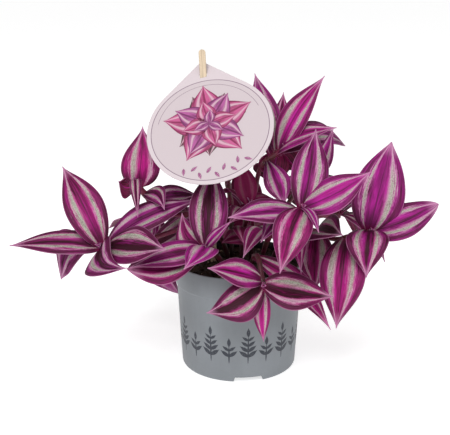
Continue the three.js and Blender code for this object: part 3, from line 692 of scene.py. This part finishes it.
def card_ink(name, dark, bright):
    """Printed leaves: a pale band each side of the rib, in flat ink."""
    recipe = Recipe(name, Roughness=0.36, Specular_IOR_Level=0.45)
    across, along = recipe.own_map("blade")
    streak = recipe.noise(recipe.vector(recipe.times(across, 16.0), recipe.times(along, 2.0)), 1.0, 3.0)
    out = recipe.times(recipe.maths("ABSOLUTE", recipe.maths("SUBTRACT", across, 0.5)), 2.0)
    out = recipe.maths("ADD", out, recipe.times(recipe.maths("SUBTRACT", streak, 0.5), 0.25))
    band = recipe.times(recipe.fade(out, 0.34, 0.46), recipe.fade(out, 0.58, 0.72, 1.0, 0.0))
    skin = recipe.blend(recipe.fade(streak, 0.40, 0.60), dark, bright)
    soft = recipe.fade(along, 0.1, 0.5, 0.25, 0.8)
    skin = recipe.blend(recipe.times(band, soft), skin, (0.64, 0.42, 0.50))
    edge = recipe.maths("MAXIMUM", recipe.fade(out, 0.86, 0.96), recipe.fade(out, 0.02, 0.07, 1.0, 0.0))
    recipe.to_shader(Base_Color=recipe.blend(edge, skin, dark))
    return recipe.material


def pale_wood(settings):
    recipe = Recipe("pale_wood", Roughness=0.6, Specular_IOR_Level=0.3)
    across, along = recipe.own_map("grain")
    spot = recipe.vector(recipe.times(across, 900.0), recipe.times(along, 34.0))
    grain = recipe.noise(spot, 1.0, 4.0, 0.6)
    wood = settings.wood
    skin = recipe.blend(recipe.fade(grain, 0.35, 0.65), shade(wood, 0.72), wood)
    recipe.to_shader(Base_Color=skin)
    recipe.bump(grain, 0.4, 0.0003)
    return recipe.material


# ---- The pot ----
def pot_outside(pot, inset, foot):
    """The outside of the pot as (radius, height) steps, from the foot to under the lip."""
    steps = []
    for degrees in (0, 18, 36, 54, 72, 90):
        turn = math.radians(degrees)
        radius = pot.base_radius - POT_ROUNDING + POT_ROUNDING * math.sin(turn)
        steps.append((radius - inset, foot + POT_ROUNDING * (1 - math.cos(turn))))
    band_foot = pot.height - pot.band
    for share in (0.25, 0.5, 0.75):
        radius = pot.base_radius + (pot.body_radius - pot.base_radius) * share
        height = foot + POT_ROUNDING + (band_foot - 0.0014 - foot - POT_ROUNDING) * share
        steps.append((radius - inset, height))
    for radius, drop in ((pot.body_radius, 0.0012), (pot.body_radius + 0.0003, 0.0006)):
        steps.append((radius - inset, band_foot - drop))
    for radius, rise in ((pot.rim_radius - 0.0009, 0.0), (pot.rim_radius - 0.0007, 0.0006)):
        steps.append((radius - inset, band_foot + rise))
    return steps


def turn_up(name, steps, sides):
    """A closed round solid: a disc raised and widened step by step."""
    (radius, height), rest = steps[0], steps[1:]
    put_tools_down()
    foot = (0, 0, height)
    bpy.ops.mesh.primitive_circle_add(vertices=sides, radius=radius, fill_type="NGON", location=foot)
    piece = start(name)
    pick_all()
    for next_radius, next_height in rest:
        bpy.ops.mesh.extrude_region_move(TRANSFORM_OT_translate={"value": (0, 0, next_height - height)})
        grow = next_radius / radius
        stretch(grow, grow, 1.0)
        radius, height = next_radius, next_height
    stop_editing()
    take(piece)
    apply_place()
    outwards(piece)
    return piece


def notch_wedges(pot, growth):
    """A wedge for each notch in the foot, as one tool."""
    wedges = []
    inner = pot.base_radius - NOTCH_DEPTH - growth
    outer = pot.base_radius + 0.008
    half = pot.notch_width / 2 + growth
    roof = pot.notch_height + growth
    for index in range(NOTCHES):
        put_tools_down()
        bpy.ops.mesh.primitive_cube_add(size=1)
        wedge = start("notch_wedge")
        pick_all()
        stretch(outer - inner, 2 * half, roof + 0.001)
        move((outer + inner) / 2, 0, (roof - 0.001) / 2)
        pick(wedge, lambda place, vert: place.z > 0)
        stretch(1.0, (half - NOTCH_SLANT) / half, 1.0, (inner, 0, roof))
        stop_editing()
        turn = math.radians(FIRST_NOTCH + index * 360 / NOTCHES)
        place_in_mesh(wedge, Matrix.Rotation(turn, 4, "Z"))
        wedges.append(wedge)
    return join(wedges, "notch_wedges")


def leaf_blank(name, rows, columns, fold=0.0, curl=0.0):
    """One flat leaf of length 1 and width 1, with its base at the origin and its tip on +Y."""
    put_tools_down()
    grid = {"x_subdivisions": columns, "y_subdivisions": rows}
    bpy.ops.mesh.primitive_grid_add(**grid, size=1, location=(0, 0.5, 0))
    apply_place()
    blank = start(name)
    edit_kind("VERT")
    if fold:
        for column in range(columns + 1):
            x = column / columns - 0.5
            pick(blank, lambda place, vert: abs(place.x - x) < 0.001)
            share = abs(x) * 2
            move(z=(fold * share - curl * share * share) / 2)
    for row in range(rows + 1):
        y = row / rows
        pick(blank, lambda place, vert: abs(place.y - y) < 0.001)
        wide = leaf_outline(y)
        stretch(wide, 1.0, wide, (0, y, 0))
    stop_editing()
    blank.data.uv_layers[0].name = "blade"
    return blank


def leaf_outline(along, low=0.8, full=0.0):
    """Half-width as a share of the widest: a clasping base and a long drawn-out tip."""
    along = min(max(along, 0.0), 1.0)
    swell = max(math.sin(math.pi * along**low), 0.0) ** (0.7 + (0.6 - full) * along)
    clasp = 0.26 * (1 - along / 0.3) ** 0.5 if along < 0.3 else 0.0
    return max(swell, clasp, 0.016)


# ---- Prints ----
def lay_flat(blank, name, base, direction, long, wide, height):
    """A copy of a flat leaf, laid in the XY plane. Lengths are in millimetres."""
    piece = copy_of(blank, name)
    turn = Matrix.Rotation(math.radians(direction - 90), 4, "Z")
    size = Matrix.Diagonal((wide * MM, long * MM, 1, 1))
    spot = Matrix.Translation((base[0] * MM, base[1] * MM, height))
    place_in_mesh(piece, spot @ turn @ size)
    return piece


def sprig(blank, foot, tall, pairs):
    """An upright sprig: a thin stalk with pairs of small leaves and one at the top."""
    x, y = foot
    leaves = [lay_flat(blank, "sprig_stalk", (x, y), 90, tall, 1.3, 0)]
    for pair in range(pairs):
        share = (pair + 1.2) / (pairs + 1)
        long = 9.5 * (1.1 - 0.55 * share)
        for side in (-1, 1):
            base = (x, y + tall * share * 0.86)
            leaves.append(lay_flat(blank, "sprig_leaf", base, 90 - side * 52, long, long * 0.36, 0))
    leaves.append(lay_flat(blank, "sprig_top", (x, y + tall * 0.86), 90, 7.5, 2.8, 0))
    return leaves


def wrap_on_pot(print_piece, pot):
    """Bends a flat print round the pot: X runs round it from the front, and Y is the height."""
    slope = (pot.body_radius - pot.base_radius) / (pot.height - pot.band - POT_ROUNDING)
    for vert in print_piece.data.vertices:
        radius = pot.base_radius + slope * (vert.co.y - POT_ROUNDING) + 0.00003
        turn = vert.co.x / pot.base_radius
        vert.co = (radius * math.sin(turn), -radius * math.cos(turn), vert.co.y)


class PLANT_OT_make_pot(bpy.types.Operator):
    """Turns the nursery pot, cuts its drainage notches and prints its sprigs"""

    bl_idname = "plant.make_pot"
    bl_label = "Make Pot"

    def execute(self, context):
        pot = context.scene.plant_pot
        outside = pot_outside(pot, 0.0, 0.0)
        lip = pot.height
        mouth = [
            (pot.rim_radius, lip - 0.0006),
            (pot.rim_radius - 0.0001, lip - 0.0003),
            (pot.rim_radius - 0.0004, lip),
            (pot.rim_radius - pot.wall + 0.0004, lip),
            (pot.rim_radius - pot.wall + 0.0001, lip - 0.0003),
            (pot.rim_radius - pot.wall, lip - 0.0007),
        ]
        inside = pot_outside(pot, pot.wall, POT_FLOOR)[::-1]
        body = turn_up("pot", outside + mouth + inside, 144)
        full = turn_up("pot_full", outside + mouth[:1], 144)
        walls = notch_wedges(pot, pot.wall)
        cut(walls, full, "INTERSECT")
        cut(body, walls, "UNION")
        cut(body, notch_wedges(pot, 0.0), "DIFFERENCE")
        soften(body, 0.00025, 2, 50)
        outwards(body)
        smooth(body, 30)
        dress(body, pot_plastic(pot))

        flat = leaf_blank("flat_leaf", 10, 4)
        marks = []
        for index in range(SPRIGS):
            x = (index - (SPRIGS - 1) / 2) * 2 * math.pi * pot.base_radius / MM / SPRIGS
            tall, pairs = ((27, 4), (17, 2))[index % 2]
            marks += sprig(flat, (x, SPRIG_FOOT), tall, pairs)
        throw_away(flat)
        marks = join(marks, "pot_marks")
        wrap_on_pot(marks, pot)
        apply(marks, "SOLIDIFY", thickness=INK, offset=1)
        outwards(marks)
        dress(marks, pot_print(pot))
        hand_over(join([body, marks], "nursery_pot"), "pot", "pot")
        return {"FINISHED"}


# ---- The soil ----
class PLANT_OT_make_soil(bpy.types.Operator):
    """Fills the pot with damp, crumbly soil"""

    bl_idname = "plant.make_soil"
    bl_label = "Make Soil"

    def execute(self, context):
        pot, soil = context.scene.plant_pot, context.scene.plant_soil
        gap = pot.wall + 0.0001
        band_foot = pot.height - pot.band
        steps = [step for step in pot_outside(pot, gap, SOIL_FOOT) if step[1] < band_foot]
        steps.append((pot.rim_radius - 0.0007 - gap, band_foot + 0.001))
        radius = pot.rim_radius - 0.0003 - gap
        steps.append((radius, soil.level))
        body = turn_up("soil", steps, 96)
        take(body)
        bpy.ops.object.mode_set(mode="EDIT")
        edit_kind("FACE")
        pick(body, lambda place, face: place.z > soil.level - 0.0001, "faces")
        while radius > 0.0022:
            bpy.ops.mesh.inset(thickness=SOIL_RING, depth=0)
            radius -= SOIL_RING
        bpy.ops.mesh.poke()
        stop_editing()
        top = body.vertex_groups.new(name="top")
        rim = pot.rim_radius - 0.003
        surface = [vert for vert in body.data.vertices if vert.co.z > soil.level - 0.0001]
        top.add([vert.index for vert in surface if vert.co.xy.length < rim], 1.0, "REPLACE")
        for size, share in ((0.011, 1.4), (0.0035, 1.0), (0.0014, 0.6)):
            lumps = bpy.data.textures.new("soil_lumps", "CLOUDS")
            lumps.noise_scale = size
            lumps.noise_depth = 3
            high = soil.roughness * share
            apply(body, "DISPLACE", texture=lumps, strength=high, direction="Z", vertex_group="top")
        body.vertex_groups.clear()

        dice = random.Random(5)
        put_tools_down()
        bpy.ops.mesh.primitive_ico_sphere_add(subdivisions=1, radius=1)
        crumb = start("crumb")
        pick_all()
        bpy.ops.transform.vertex_random(offset=0.25, seed=3)
        stop_editing()
        crumbs = [body]
        for _ in range(soil.crumbs):
            out = (pot.rim_radius - 0.0035) * dice.random() ** 0.5
            turn = dice.uniform(0, 2 * math.pi)
            size = 0.0005 + 0.0014 * dice.random() ** 2
            flat = size * dice.uniform(0.5, 1.0)
            height = soil.level + flat * 0.5
            spot = Matrix.Translation((out * math.cos(turn), out * math.sin(turn), height))
            spin = Matrix.Rotation(dice.uniform(0, 6.28), 4, Vector((dice.random(), dice.random(), 1)))
            copy = copy_of(crumb, "crumb")
            place_in_mesh(copy, spot @ spin @ Matrix.Diagonal((size * 1.4, size, flat, 1)))
            mark(copy, "crumb_pale", dice.random())
            crumbs.append(copy)
        throw_away(crumb)
        whole = join(crumbs, "potting_soil")
        smooth(whole, 45)
        dress(whole, damp_soil(soil))
        hand_over(whole, "soil", "soil")
        return {"FINISHED"}


# ---- The stems ----
def stem_route(points):
    """Closely spaced points along a stem, with the upright foot in its hole."""
    (x, y), rest = points[0], points[1:]
    knots = [Vector((x, y, z)) for z in STEM_FOOT] + [Vector(point) for point in rest]
    ends = [2 * knots[0] - knots[1], *knots, 2 * knots[-1] - knots[-2]]
    line = []
    for index in range(len(knots) - 1):
        before, start_at, end_at, after = ends[index : index + 4]
        pairs = ((before, start_at), (start_at, end_at), (end_at, after))
        first, own, last = (max((b - a).length, 1e-4) ** 0.5 for a, b in pairs)
        across = (end_at - start_at) / own
        leave = (start_at - before) / first - (end_at - before) / (first + own) + across
        arrive = across - (after - start_at) / (own + last) + (after - end_at) / last
        leave, arrive = leave * own, arrive * own
        for step in range(ROUTE_STEPS):
            t = step / ROUTE_STEPS
            curve = (2 * t**3 - 3 * t**2 + 1) * start_at + (t**3 - 2 * t**2 + t) * leave
            line.append(curve + (3 * t**2 - 2 * t**3) * end_at + (t**3 - t**2) * arrive)
    line.append(knots[-1])
    return [point * MM for point in line]


def along_route(line, share):
    """The point at a share of the route's length."""
    spans = [(b - a).length for a, b in zip(line, line[1:])]
    left = share * sum(spans)
    for a, b, span in zip(line, line[1:], spans):
        if left <= span:
            return a.lerp(b, left / span)
        left -= span
    return line[-1].copy()


def stem_tube(name, line, places, radius):
    """A fleshy stem that swells a little where each leaf leaves it."""
    curve = bpy.data.curves.new(name, "CURVE")
    curve.dimensions = "3D"
    curve.bevel_depth = radius
    curve.bevel_resolution = 4
    curve.use_fill_caps = True
    spline = curve.splines.new("POLY")
    spline.points.add(len(line) - 1)
    for point, place in zip(spline.points, line):
        near = min((place - spot).length for spot in places)
        point.co = (*place, 1.0)
        point.radius = 0.92 + 0.38 * math.exp(-((near / 0.0035) ** 2))
    piece = bpy.data.objects.new(name, curve)
    bpy.context.collection.objects.link(piece)
    take(piece)
    bpy.ops.object.convert(target="MESH")
    piece = bpy.context.object
    for layer in list(piece.data.uv_layers):
        piece.data.uv_layers.remove(layer)
    return piece


def hang_leaf(blank, name, base, leaf, seed):
    """A copy of the leaf, bowed from its base on the stem to its own tip.

    Each leaf has its own bow, waves and turn, so its points are set one by one."""
    dice = random.Random(seed)
    piece = copy_of(blank, name)
    reach = (Vector(leaf.tip) * MM - base) * LEAF_REACH
    ahead = reach.normalized()
    up = Vector(leaf.faces)
    up = (up - ahead * up.dot(ahead)).normalized()
    side = ahead.cross(up)
    bow = leaf.arch * reach.length
    sway = (leaf.bend + dice.uniform(-0.015, 0.015)) * reach.length
    twist = dice.uniform(-0.16, 0.16)
    phase, waves, ripple = dice.uniform(0, 6.28), dice.uniform(1.2, 2.2), dice.uniform(0.02, 0.05)
    width = leaf.width * MM
    for vert in piece.data.vertices:
        across, along, lift = vert.co
        swing = math.pi * along**0.85
        middle = base + reach * along + up * (math.sin(swing) * bow)
        middle += side * (math.sin(math.pi * along) * sway)
        slope = math.cos(swing) * bow * math.pi * 0.85 * max(along, 0.02) ** -0.15 / reach.length
        normal = (up - ahead * slope).normalized()
        turn = Matrix.Rotation(twist * math.sin(math.pi * along), 3, ahead)
        level, rise = turn @ side, turn @ normal
        own = leaf_outline(along, leaf.low, leaf.full)
        wide = own / leaf_outline(along)
        edge = min(abs(across) * 2 / leaf_outline(along), 1.0) ** 2
        wave = ripple * edge * own * math.sin(waves * 2 * math.pi * along + phase + (across > 0) * 1.3)
        lift = (lift * wide * leaf.crease + wave * 0.5) * width
        vert.co = middle + level * (across * wide * width) + rise * lift
    mark(piece, "leaf_seed", dice.random())
    mark(piece, "leaf_glow", leaf.glow)
    return piece


def young_leaves(line, leaves):
    """Two small rolled leaves that are just opening at the end of a stem."""
    end = line[-1]
    onward = (line[-1] - line[-4]).normalized()
    last_leaves = [leaf for leaf in leaves if leaf.at > 0.9]
    outlook = sum((Vector(leaf.faces).normalized() for leaf in last_leaves), Vector())
    heart = (onward * 0.5 + outlook.normalized()).normalized()
    side = heart.cross(Vector((0, 0, 1)) if abs(heart.z) < 0.9 else Vector((1, 0, 0))).normalized()
    pair = []
    for sign, long in ((1, 8), (-1, 6)):
        tip = end / MM + heart * long + side * sign * 2
        pair.append(Leaf(1.0, tuple(tip), 5, 0.06, tuple(side * -sign), 0.85, crease=2.2))
    return pair


def hair_skin():
    recipe = Recipe("sheath_hair", Roughness=0.5)
    speck = recipe.noise(recipe.place(), 900.0)
    recipe.to_shader(Base_Color=recipe.blend(speck, (0.42, 0.20, 0.28), (0.70, 0.55, 0.58)))
    return recipe.material


def sheath_hairs(hair, line, leaf, out_from_middle, dice):
    """A ring of fine hairs where a leaf clasps its stem."""
    base = along_route(line, leaf.at)
    ahead = along_route(line, min(leaf.at + 0.02, 1.0))
    onward = (ahead - along_route(line, leaf.at - 0.02)).normalized()
    sideways = onward.orthogonal().normalized()
    hairs = []
    for step in range(HAIRS_PER_LEAF):
        turn = (step + dice.uniform(-0.3, 0.3)) * math.tau / HAIRS_PER_LEAF
        out = Matrix.Rotation(turn, 3, onward) @ sideways
        place = base + out * out_from_middle + onward * dice.uniform(-0.0004, 0.0008)
        tilt = (out + onward * dice.uniform(0.2, 1.4)).normalized().to_track_quat("Z", "X")
        size = Matrix.Scale(dice.uniform(0.6, 1.2), 4)
        piece = copy_of(hair, "hair")
        place_in_mesh(piece, Matrix.Translation(place) @ tilt.to_matrix().to_4x4() @ size)
        hairs.append(piece)
    return hairs


class PLANT_OT_make_stems(bpy.types.Operator):
    """Grows the leafy stems, each with its own leaves"""

    bl_idname = "plant.make_stems"
    bl_label = "Make Leafy Stems"

    def execute(self, context):
        settings = context.scene.plant_leaves
        upper, lower, skin = leaf_top(settings), leaf_under(settings), stem_skin(settings)
        blank = leaf_blank("leaf_blank", 30, 14, settings.fold, settings.curl)
        small = leaf_blank("small_leaf_blank", 12, 6, settings.fold, settings.curl)
        put_tools_down()
        root = (0, 0, 0.0009)
        bpy.ops.mesh.primitive_cone_add(vertices=3, radius1=0.00008, depth=0.0022, location=root)
        apply_place()
        hair = bpy.context.object
        dress(hair, hair_skin())
        dice = random.Random(5)
        seed = 0
        for node, (route, leaves) in STEMS.items():
            line = stem_route(route)
            places = [along_route(line, leaf.at) for leaf in leaves]
            grown = [(blank, place, leaf) for place, leaf in zip(places, leaves)]
            grown += [(small, line[-1], leaf) for leaf in young_leaves(line, leaves)]
            blades = []
            for shape, base, leaf in grown:
                seed += 1
                blades.append(hang_leaf(shape, node + "_leaf", base, leaf, seed))
            crown = join(blades, node + "_leaves")
            dress(crown, upper, lower)
            sides = {"offset": 0, "material_offset": 1, "material_offset_rim": 0}
            apply(crown, "SOLIDIFY", thickness=settings.thickness, **sides)
            take(crown)
            bpy.ops.object.shade_smooth()
            tube = stem_tube(node + "_stem", line, places, settings.stem_radius)
            dress(tube, skin)
            out = settings.stem_radius * 1.2
            hairs = sum((sheath_hairs(hair, line, leaf, out, dice) for leaf in leaves), [])
            hand_over(join([crown, tube, *hairs], "leafy_" + node), "leaves", node)
        throw_away(hair, blank, small)
        return {"FINISHED"}


# ---- The card and its stick ----
def card_frame():
    """The card's own axes: X to its right, Y up to its point, Z out of its printed face."""
    tilt, turn, roll = (math.radians(angle) for angle in CARD_LEAN)
    level_share = math.cos(tilt)
    out = Vector((-math.sin(turn) * level_share, -math.cos(turn) * level_share, math.sin(tilt)))
    level = Vector((0, 0, 1)).cross(out).normalized()
    right = level * math.cos(roll) + out.cross(level) * math.sin(roll)
    axes = Matrix((right, out.cross(right), out)).transposed().to_4x4()
    return Matrix.Translation(CARD_CENTRE) @ axes


def flat_map(piece, name, size):
    """Gives a flat piece a map of its own X and Y, with the middle on the origin."""
    layer = piece.data.uv_layers.get(name) or piece.data.uv_layers.new(name=name)
    for loop in piece.data.loops:
        place = piece.data.vertices[loop.vertex_index].co
        layer.data[loop.index].uv = (place.x / size + 0.5, place.y / size + 0.5)


def stick_pose():
    """The stick's axes, with X across it and Y up along it, and how far the slot is from its foot."""
    slot = card_frame() @ Vector((0, SLOT_FROM_CENTRE, 0))
    foot = Vector(STICK_FOOT)
    along = (slot - foot).normalized()
    front = Vector((1, 0, 0)).cross(along).normalized()
    axes = Matrix((along.cross(front), along, front)).transposed().to_4x4()
    return Matrix.Translation(foot) @ axes, (slot - foot).length


def stick_blank(stick, growth):
    """A flat stick along +Y from the origin, pointed at its foot and round at its top."""
    total = stick_pose()[1] + STICK_ABOVE_SLOT
    half = stick.width / 2 + growth
    put_tools_down()
    bpy.ops.mesh.primitive_cube_add(size=1)
    piece = start("stick")
    pick_all()
    stretch(2 * half, total, stick.thickness + 2 * growth)
    move(y=total / 2)
    if not growth:
        edit_kind("EDGE")
        pick(piece, lambda place, edge: place.y > total - 1e-6 and abs(place.x) > 1e-6, "edges")
        bpy.ops.mesh.bevel(offset=half * 0.96, segments=8, affect="EDGES")
        edit_kind("VERT")
        pick_all()
        bpy.ops.mesh.bisect(plane_co=(0, STICK_POINT, 0), plane_no=(0, 1, 0))
        pick(piece, lambda place, vert: place.y < 1e-6)
        stretch(0.5, 1.0, 1.0, (0, 0, 0))
    stop_editing()
    return piece


class PLANT_OT_make_card(bpy.types.Operator):
    """Cuts the plant card, prints its rosette and slots it for the stick"""

    bl_idname = "plant.make_card"
    bl_label = "Make Plant Card"

    def execute(self, context):
        card, stick = context.scene.plant_card, context.scene.plant_stick
        spread = math.acos(card.radius / card.apex)
        put_tools_down()
        bpy.ops.mesh.primitive_circle_add(vertices=180, radius=card.radius, fill_type="NOTHING")
        sheet = start("card")
        edit_kind("VERT")
        side = card.radius * math.cos(spread)
        pick(sheet, lambda place, vert: place.y > side + 0.0004)
        bpy.ops.mesh.delete(type="VERT")
        shoulders = card.radius * math.cos(spread + math.radians(3))
        pick(sheet, lambda place, vert: place.y > shoulders and len(vert.link_edges) == 1)
        bpy.ops.mesh.edge_face_add()
        bpy.ops.mesh.subdivide(number_cuts=1)
        pick(sheet, lambda place, vert: abs(place.x) < 1e-5 and place.y > 0)
        mesh = bmesh.from_edit_mesh(sheet.data)
        tip = next(vert for vert in mesh.verts if vert.select)
        move(y=card.apex - tip.co.y)
        bpy.ops.mesh.bevel(offset=0.0034, segments=8, affect="VERTICES")
        pick_all()
        bpy.ops.mesh.edge_face_add()
        bpy.ops.mesh.extrude_region_move(TRANSFORM_OT_translate={"value": (0, 0, card.thickness)})
        pick_all()
        move(z=-card.thickness / 2)
        stop_editing()
        outwards(sheet)
        pose = card_frame()
        slot = stick_blank(stick, SLOT_CLEARANCE)
        place_in_mesh(slot, pose.inverted() @ stick_pose()[0])
        cut(sheet, slot, "DIFFERENCE")
        soften(sheet, 0.0001, 1, 60)
        flat_map(sheet, "sheet", CARD_MAP)
        smooth(sheet, 30)
        dress(sheet, card_paper(card))

        flat = leaf_blank("flat_leaf", 18, 6)
        face = card.thickness / 2 + 0.00002
        rose = card_ink("ink_rose", (0.22, 0.018, 0.08), (0.50, 0.09, 0.24))
        plum = card_ink("ink_plum", (0.15, 0.022, 0.10), (0.40, 0.09, 0.28))
        dusk = card_ink("ink_dusk", (0.045, 0.02, 0.025), (0.15, 0.05, 0.07))
        # Each ring: ink, how many leaves, the first one's direction, length, width and layer.
        rings = (
            (dusk, 7, 8, 30, 22, 0),
            (rose, 5, 20, 37, 25, 1),
            (plum, 4, 55, 31, 21, 2),
            (rose, 4, 8, 22, 16, 3),
            (plum, 3, 80, 13, 9, 4),
        )
        prints = []
        for ink, count, first, long, wide, layer in rings:
            ring = []
            for index in range(count):
                turn = first + index * 360 / count
                height = face + layer * CARD_INK
                ring.append(lay_flat(flat, "rosette_leaf", (0, 5), turn, long, wide, height))
            if layer == 4:
                # Its ink also prints the garland of small leaves along the card's lower edge.
                for step in range(-4, 5):
                    turn = math.radians(270 + step * 9)
                    base = (40 * math.cos(turn), 40 * math.sin(turn))
                    way = math.degrees(turn) + 90 + (60 if step % 2 else -60)
                    ring.append(lay_flat(flat, "garland_leaf", base, way, 6.5, 2.6, face))
            ring = join(ring, "rosette_ring")
            apply(ring, "SOLIDIFY", thickness=0.00004, offset=1)
            dress(ring, ink)
            prints.append(ring)
        throw_away(flat)
        whole = join([sheet, *prints], "plant_card_sheet")
        place_in_mesh(whole, pose)
        hand_over(whole, "card", "plant_card")
        return {"FINISHED"}


class PLANT_OT_make_stick(bpy.types.Operator):
    """Whittles the wooden stick that holds the card"""

    bl_idname = "plant.make_stick"
    bl_label = "Make Stick"

    def execute(self, context):
        stick = context.scene.plant_stick
        piece = stick_blank(stick, 0.0)
        outwards(piece)
        soften(piece, 0.0005, 3, 40)
        flat_map(piece, "grain", 1.0)
        place_in_mesh(piece, stick_pose()[0])
        smooth(piece, 35)
        dress(piece, pale_wood(stick))
        hand_over(piece, "stick", "card_stick")
        return {"FINISHED"}


# ---- The stage ----
class PLANT_OT_set_stage(bpy.types.Operator):
    """Lays the pale floor, hangs the soft lights and stands the camera"""

    bl_idname = "plant.set_stage"
    bl_label = "Set Stage"

    def execute(self, context):
        stage = context.scene.plant_stage
        put_tools_down()
        bpy.ops.mesh.primitive_plane_add(size=80)
        floor = bpy.context.object
        floor.name = "floor"
        paint = Recipe("pale_floor", Roughness=0.8, Specular_IOR_Level=0.1)
        paint.to_shader(Base_Color=stage.floor, Emission_Color=(1.0, 1.0, 1.0))
        paint.to_shader(Emission_Strength=stage.floor_glow)
        dress(floor, paint.material)

        world = context.scene.world or bpy.data.worlds.new("studio")
        context.scene.world = world
        world.use_nodes = True
        sky = world.node_tree.nodes["Background"]
        sky.inputs["Color"].default_value = (1.0, 1.0, 1.0, 1.0)
        sky.inputs["Strength"].default_value = stage.sky

        for name, place, size, power in (
            ("key_light", (-0.3, -1.2, 1.5), 1.0, 23.0),
            ("fill_light", (1.2, -1.1, 0.7), 1.2, 4.0),
        ):
            put_tools_down()
            bpy.ops.object.light_add(type="AREA", location=place)
            lamp = bpy.context.object
            lamp.name = name
            lamp.data.size = size
            lamp.data.energy = power
            aim = Vector((0, 0, 0.12)) - Vector(place)
            lamp.rotation_euler = aim.to_track_quat("-Z", "Y").to_euler()

        bpy.ops.object.camera_add(location=CAMERA_PLACE)
        camera = bpy.context.object
        camera.rotation_euler = [math.radians(angle) for angle in CAMERA_TURN]
        camera.data.lens = stage.lens
        camera.data.sensor_width = 36
        camera.data.clip_start = 0.01
        context.scene.camera = camera
        context.scene.view_settings.view_transform = "Standard"
        return {"FINISHED"}


class PLANT_PT_maker(bpy.types.Panel):
    bl_idname = "PLANT_PT_maker"
    bl_label = "Potted Tradescantia"
    bl_space_type = "VIEW_3D"
    bl_region_type = "UI"
    bl_category = "Potted Plant"

    def draw(self, context):
        for name, _, operator in STEPS:
            box = self.layout.box()
            settings = getattr(context.scene, name)
            for key in settings.__annotations__:
                box.prop(settings, key)
            box.operator(operator.bl_idname)


STEPS = (
    ("plant_pot", PotSettings, PLANT_OT_make_pot),
    ("plant_soil", SoilSettings, PLANT_OT_make_soil),
    ("plant_leaves", LeafSettings, PLANT_OT_make_stems),
    ("plant_card", CardSettings, PLANT_OT_make_card),
    ("plant_stick", StickSettings, PLANT_OT_make_stick),
    ("plant_stage", StageSettings, PLANT_OT_set_stage),
)


def register():
    for name, group, operator in STEPS:
        bpy.utils.register_class(group)
        setattr(bpy.types.Scene, name, PointerProperty(type=group))
        bpy.utils.register_class(operator)
    bpy.utils.register_class(PLANT_PT_maker)


def unregister():
    bpy.utils.unregister_class(PLANT_PT_maker)
    for name, group, operator in reversed(STEPS):
        bpy.utils.unregister_class(operator)
        delattr(bpy.types.Scene, name)
        bpy.utils.unregister_class(group)


def main():
    register()
    bpy.ops.plant.make_pot()
    bpy.ops.plant.make_soil()
    bpy.ops.plant.make_stems()
    bpy.ops.plant.make_card()
    bpy.ops.plant.make_stick()
    bpy.ops.plant.set_stage()


if __name__ == "__main__":
    main()
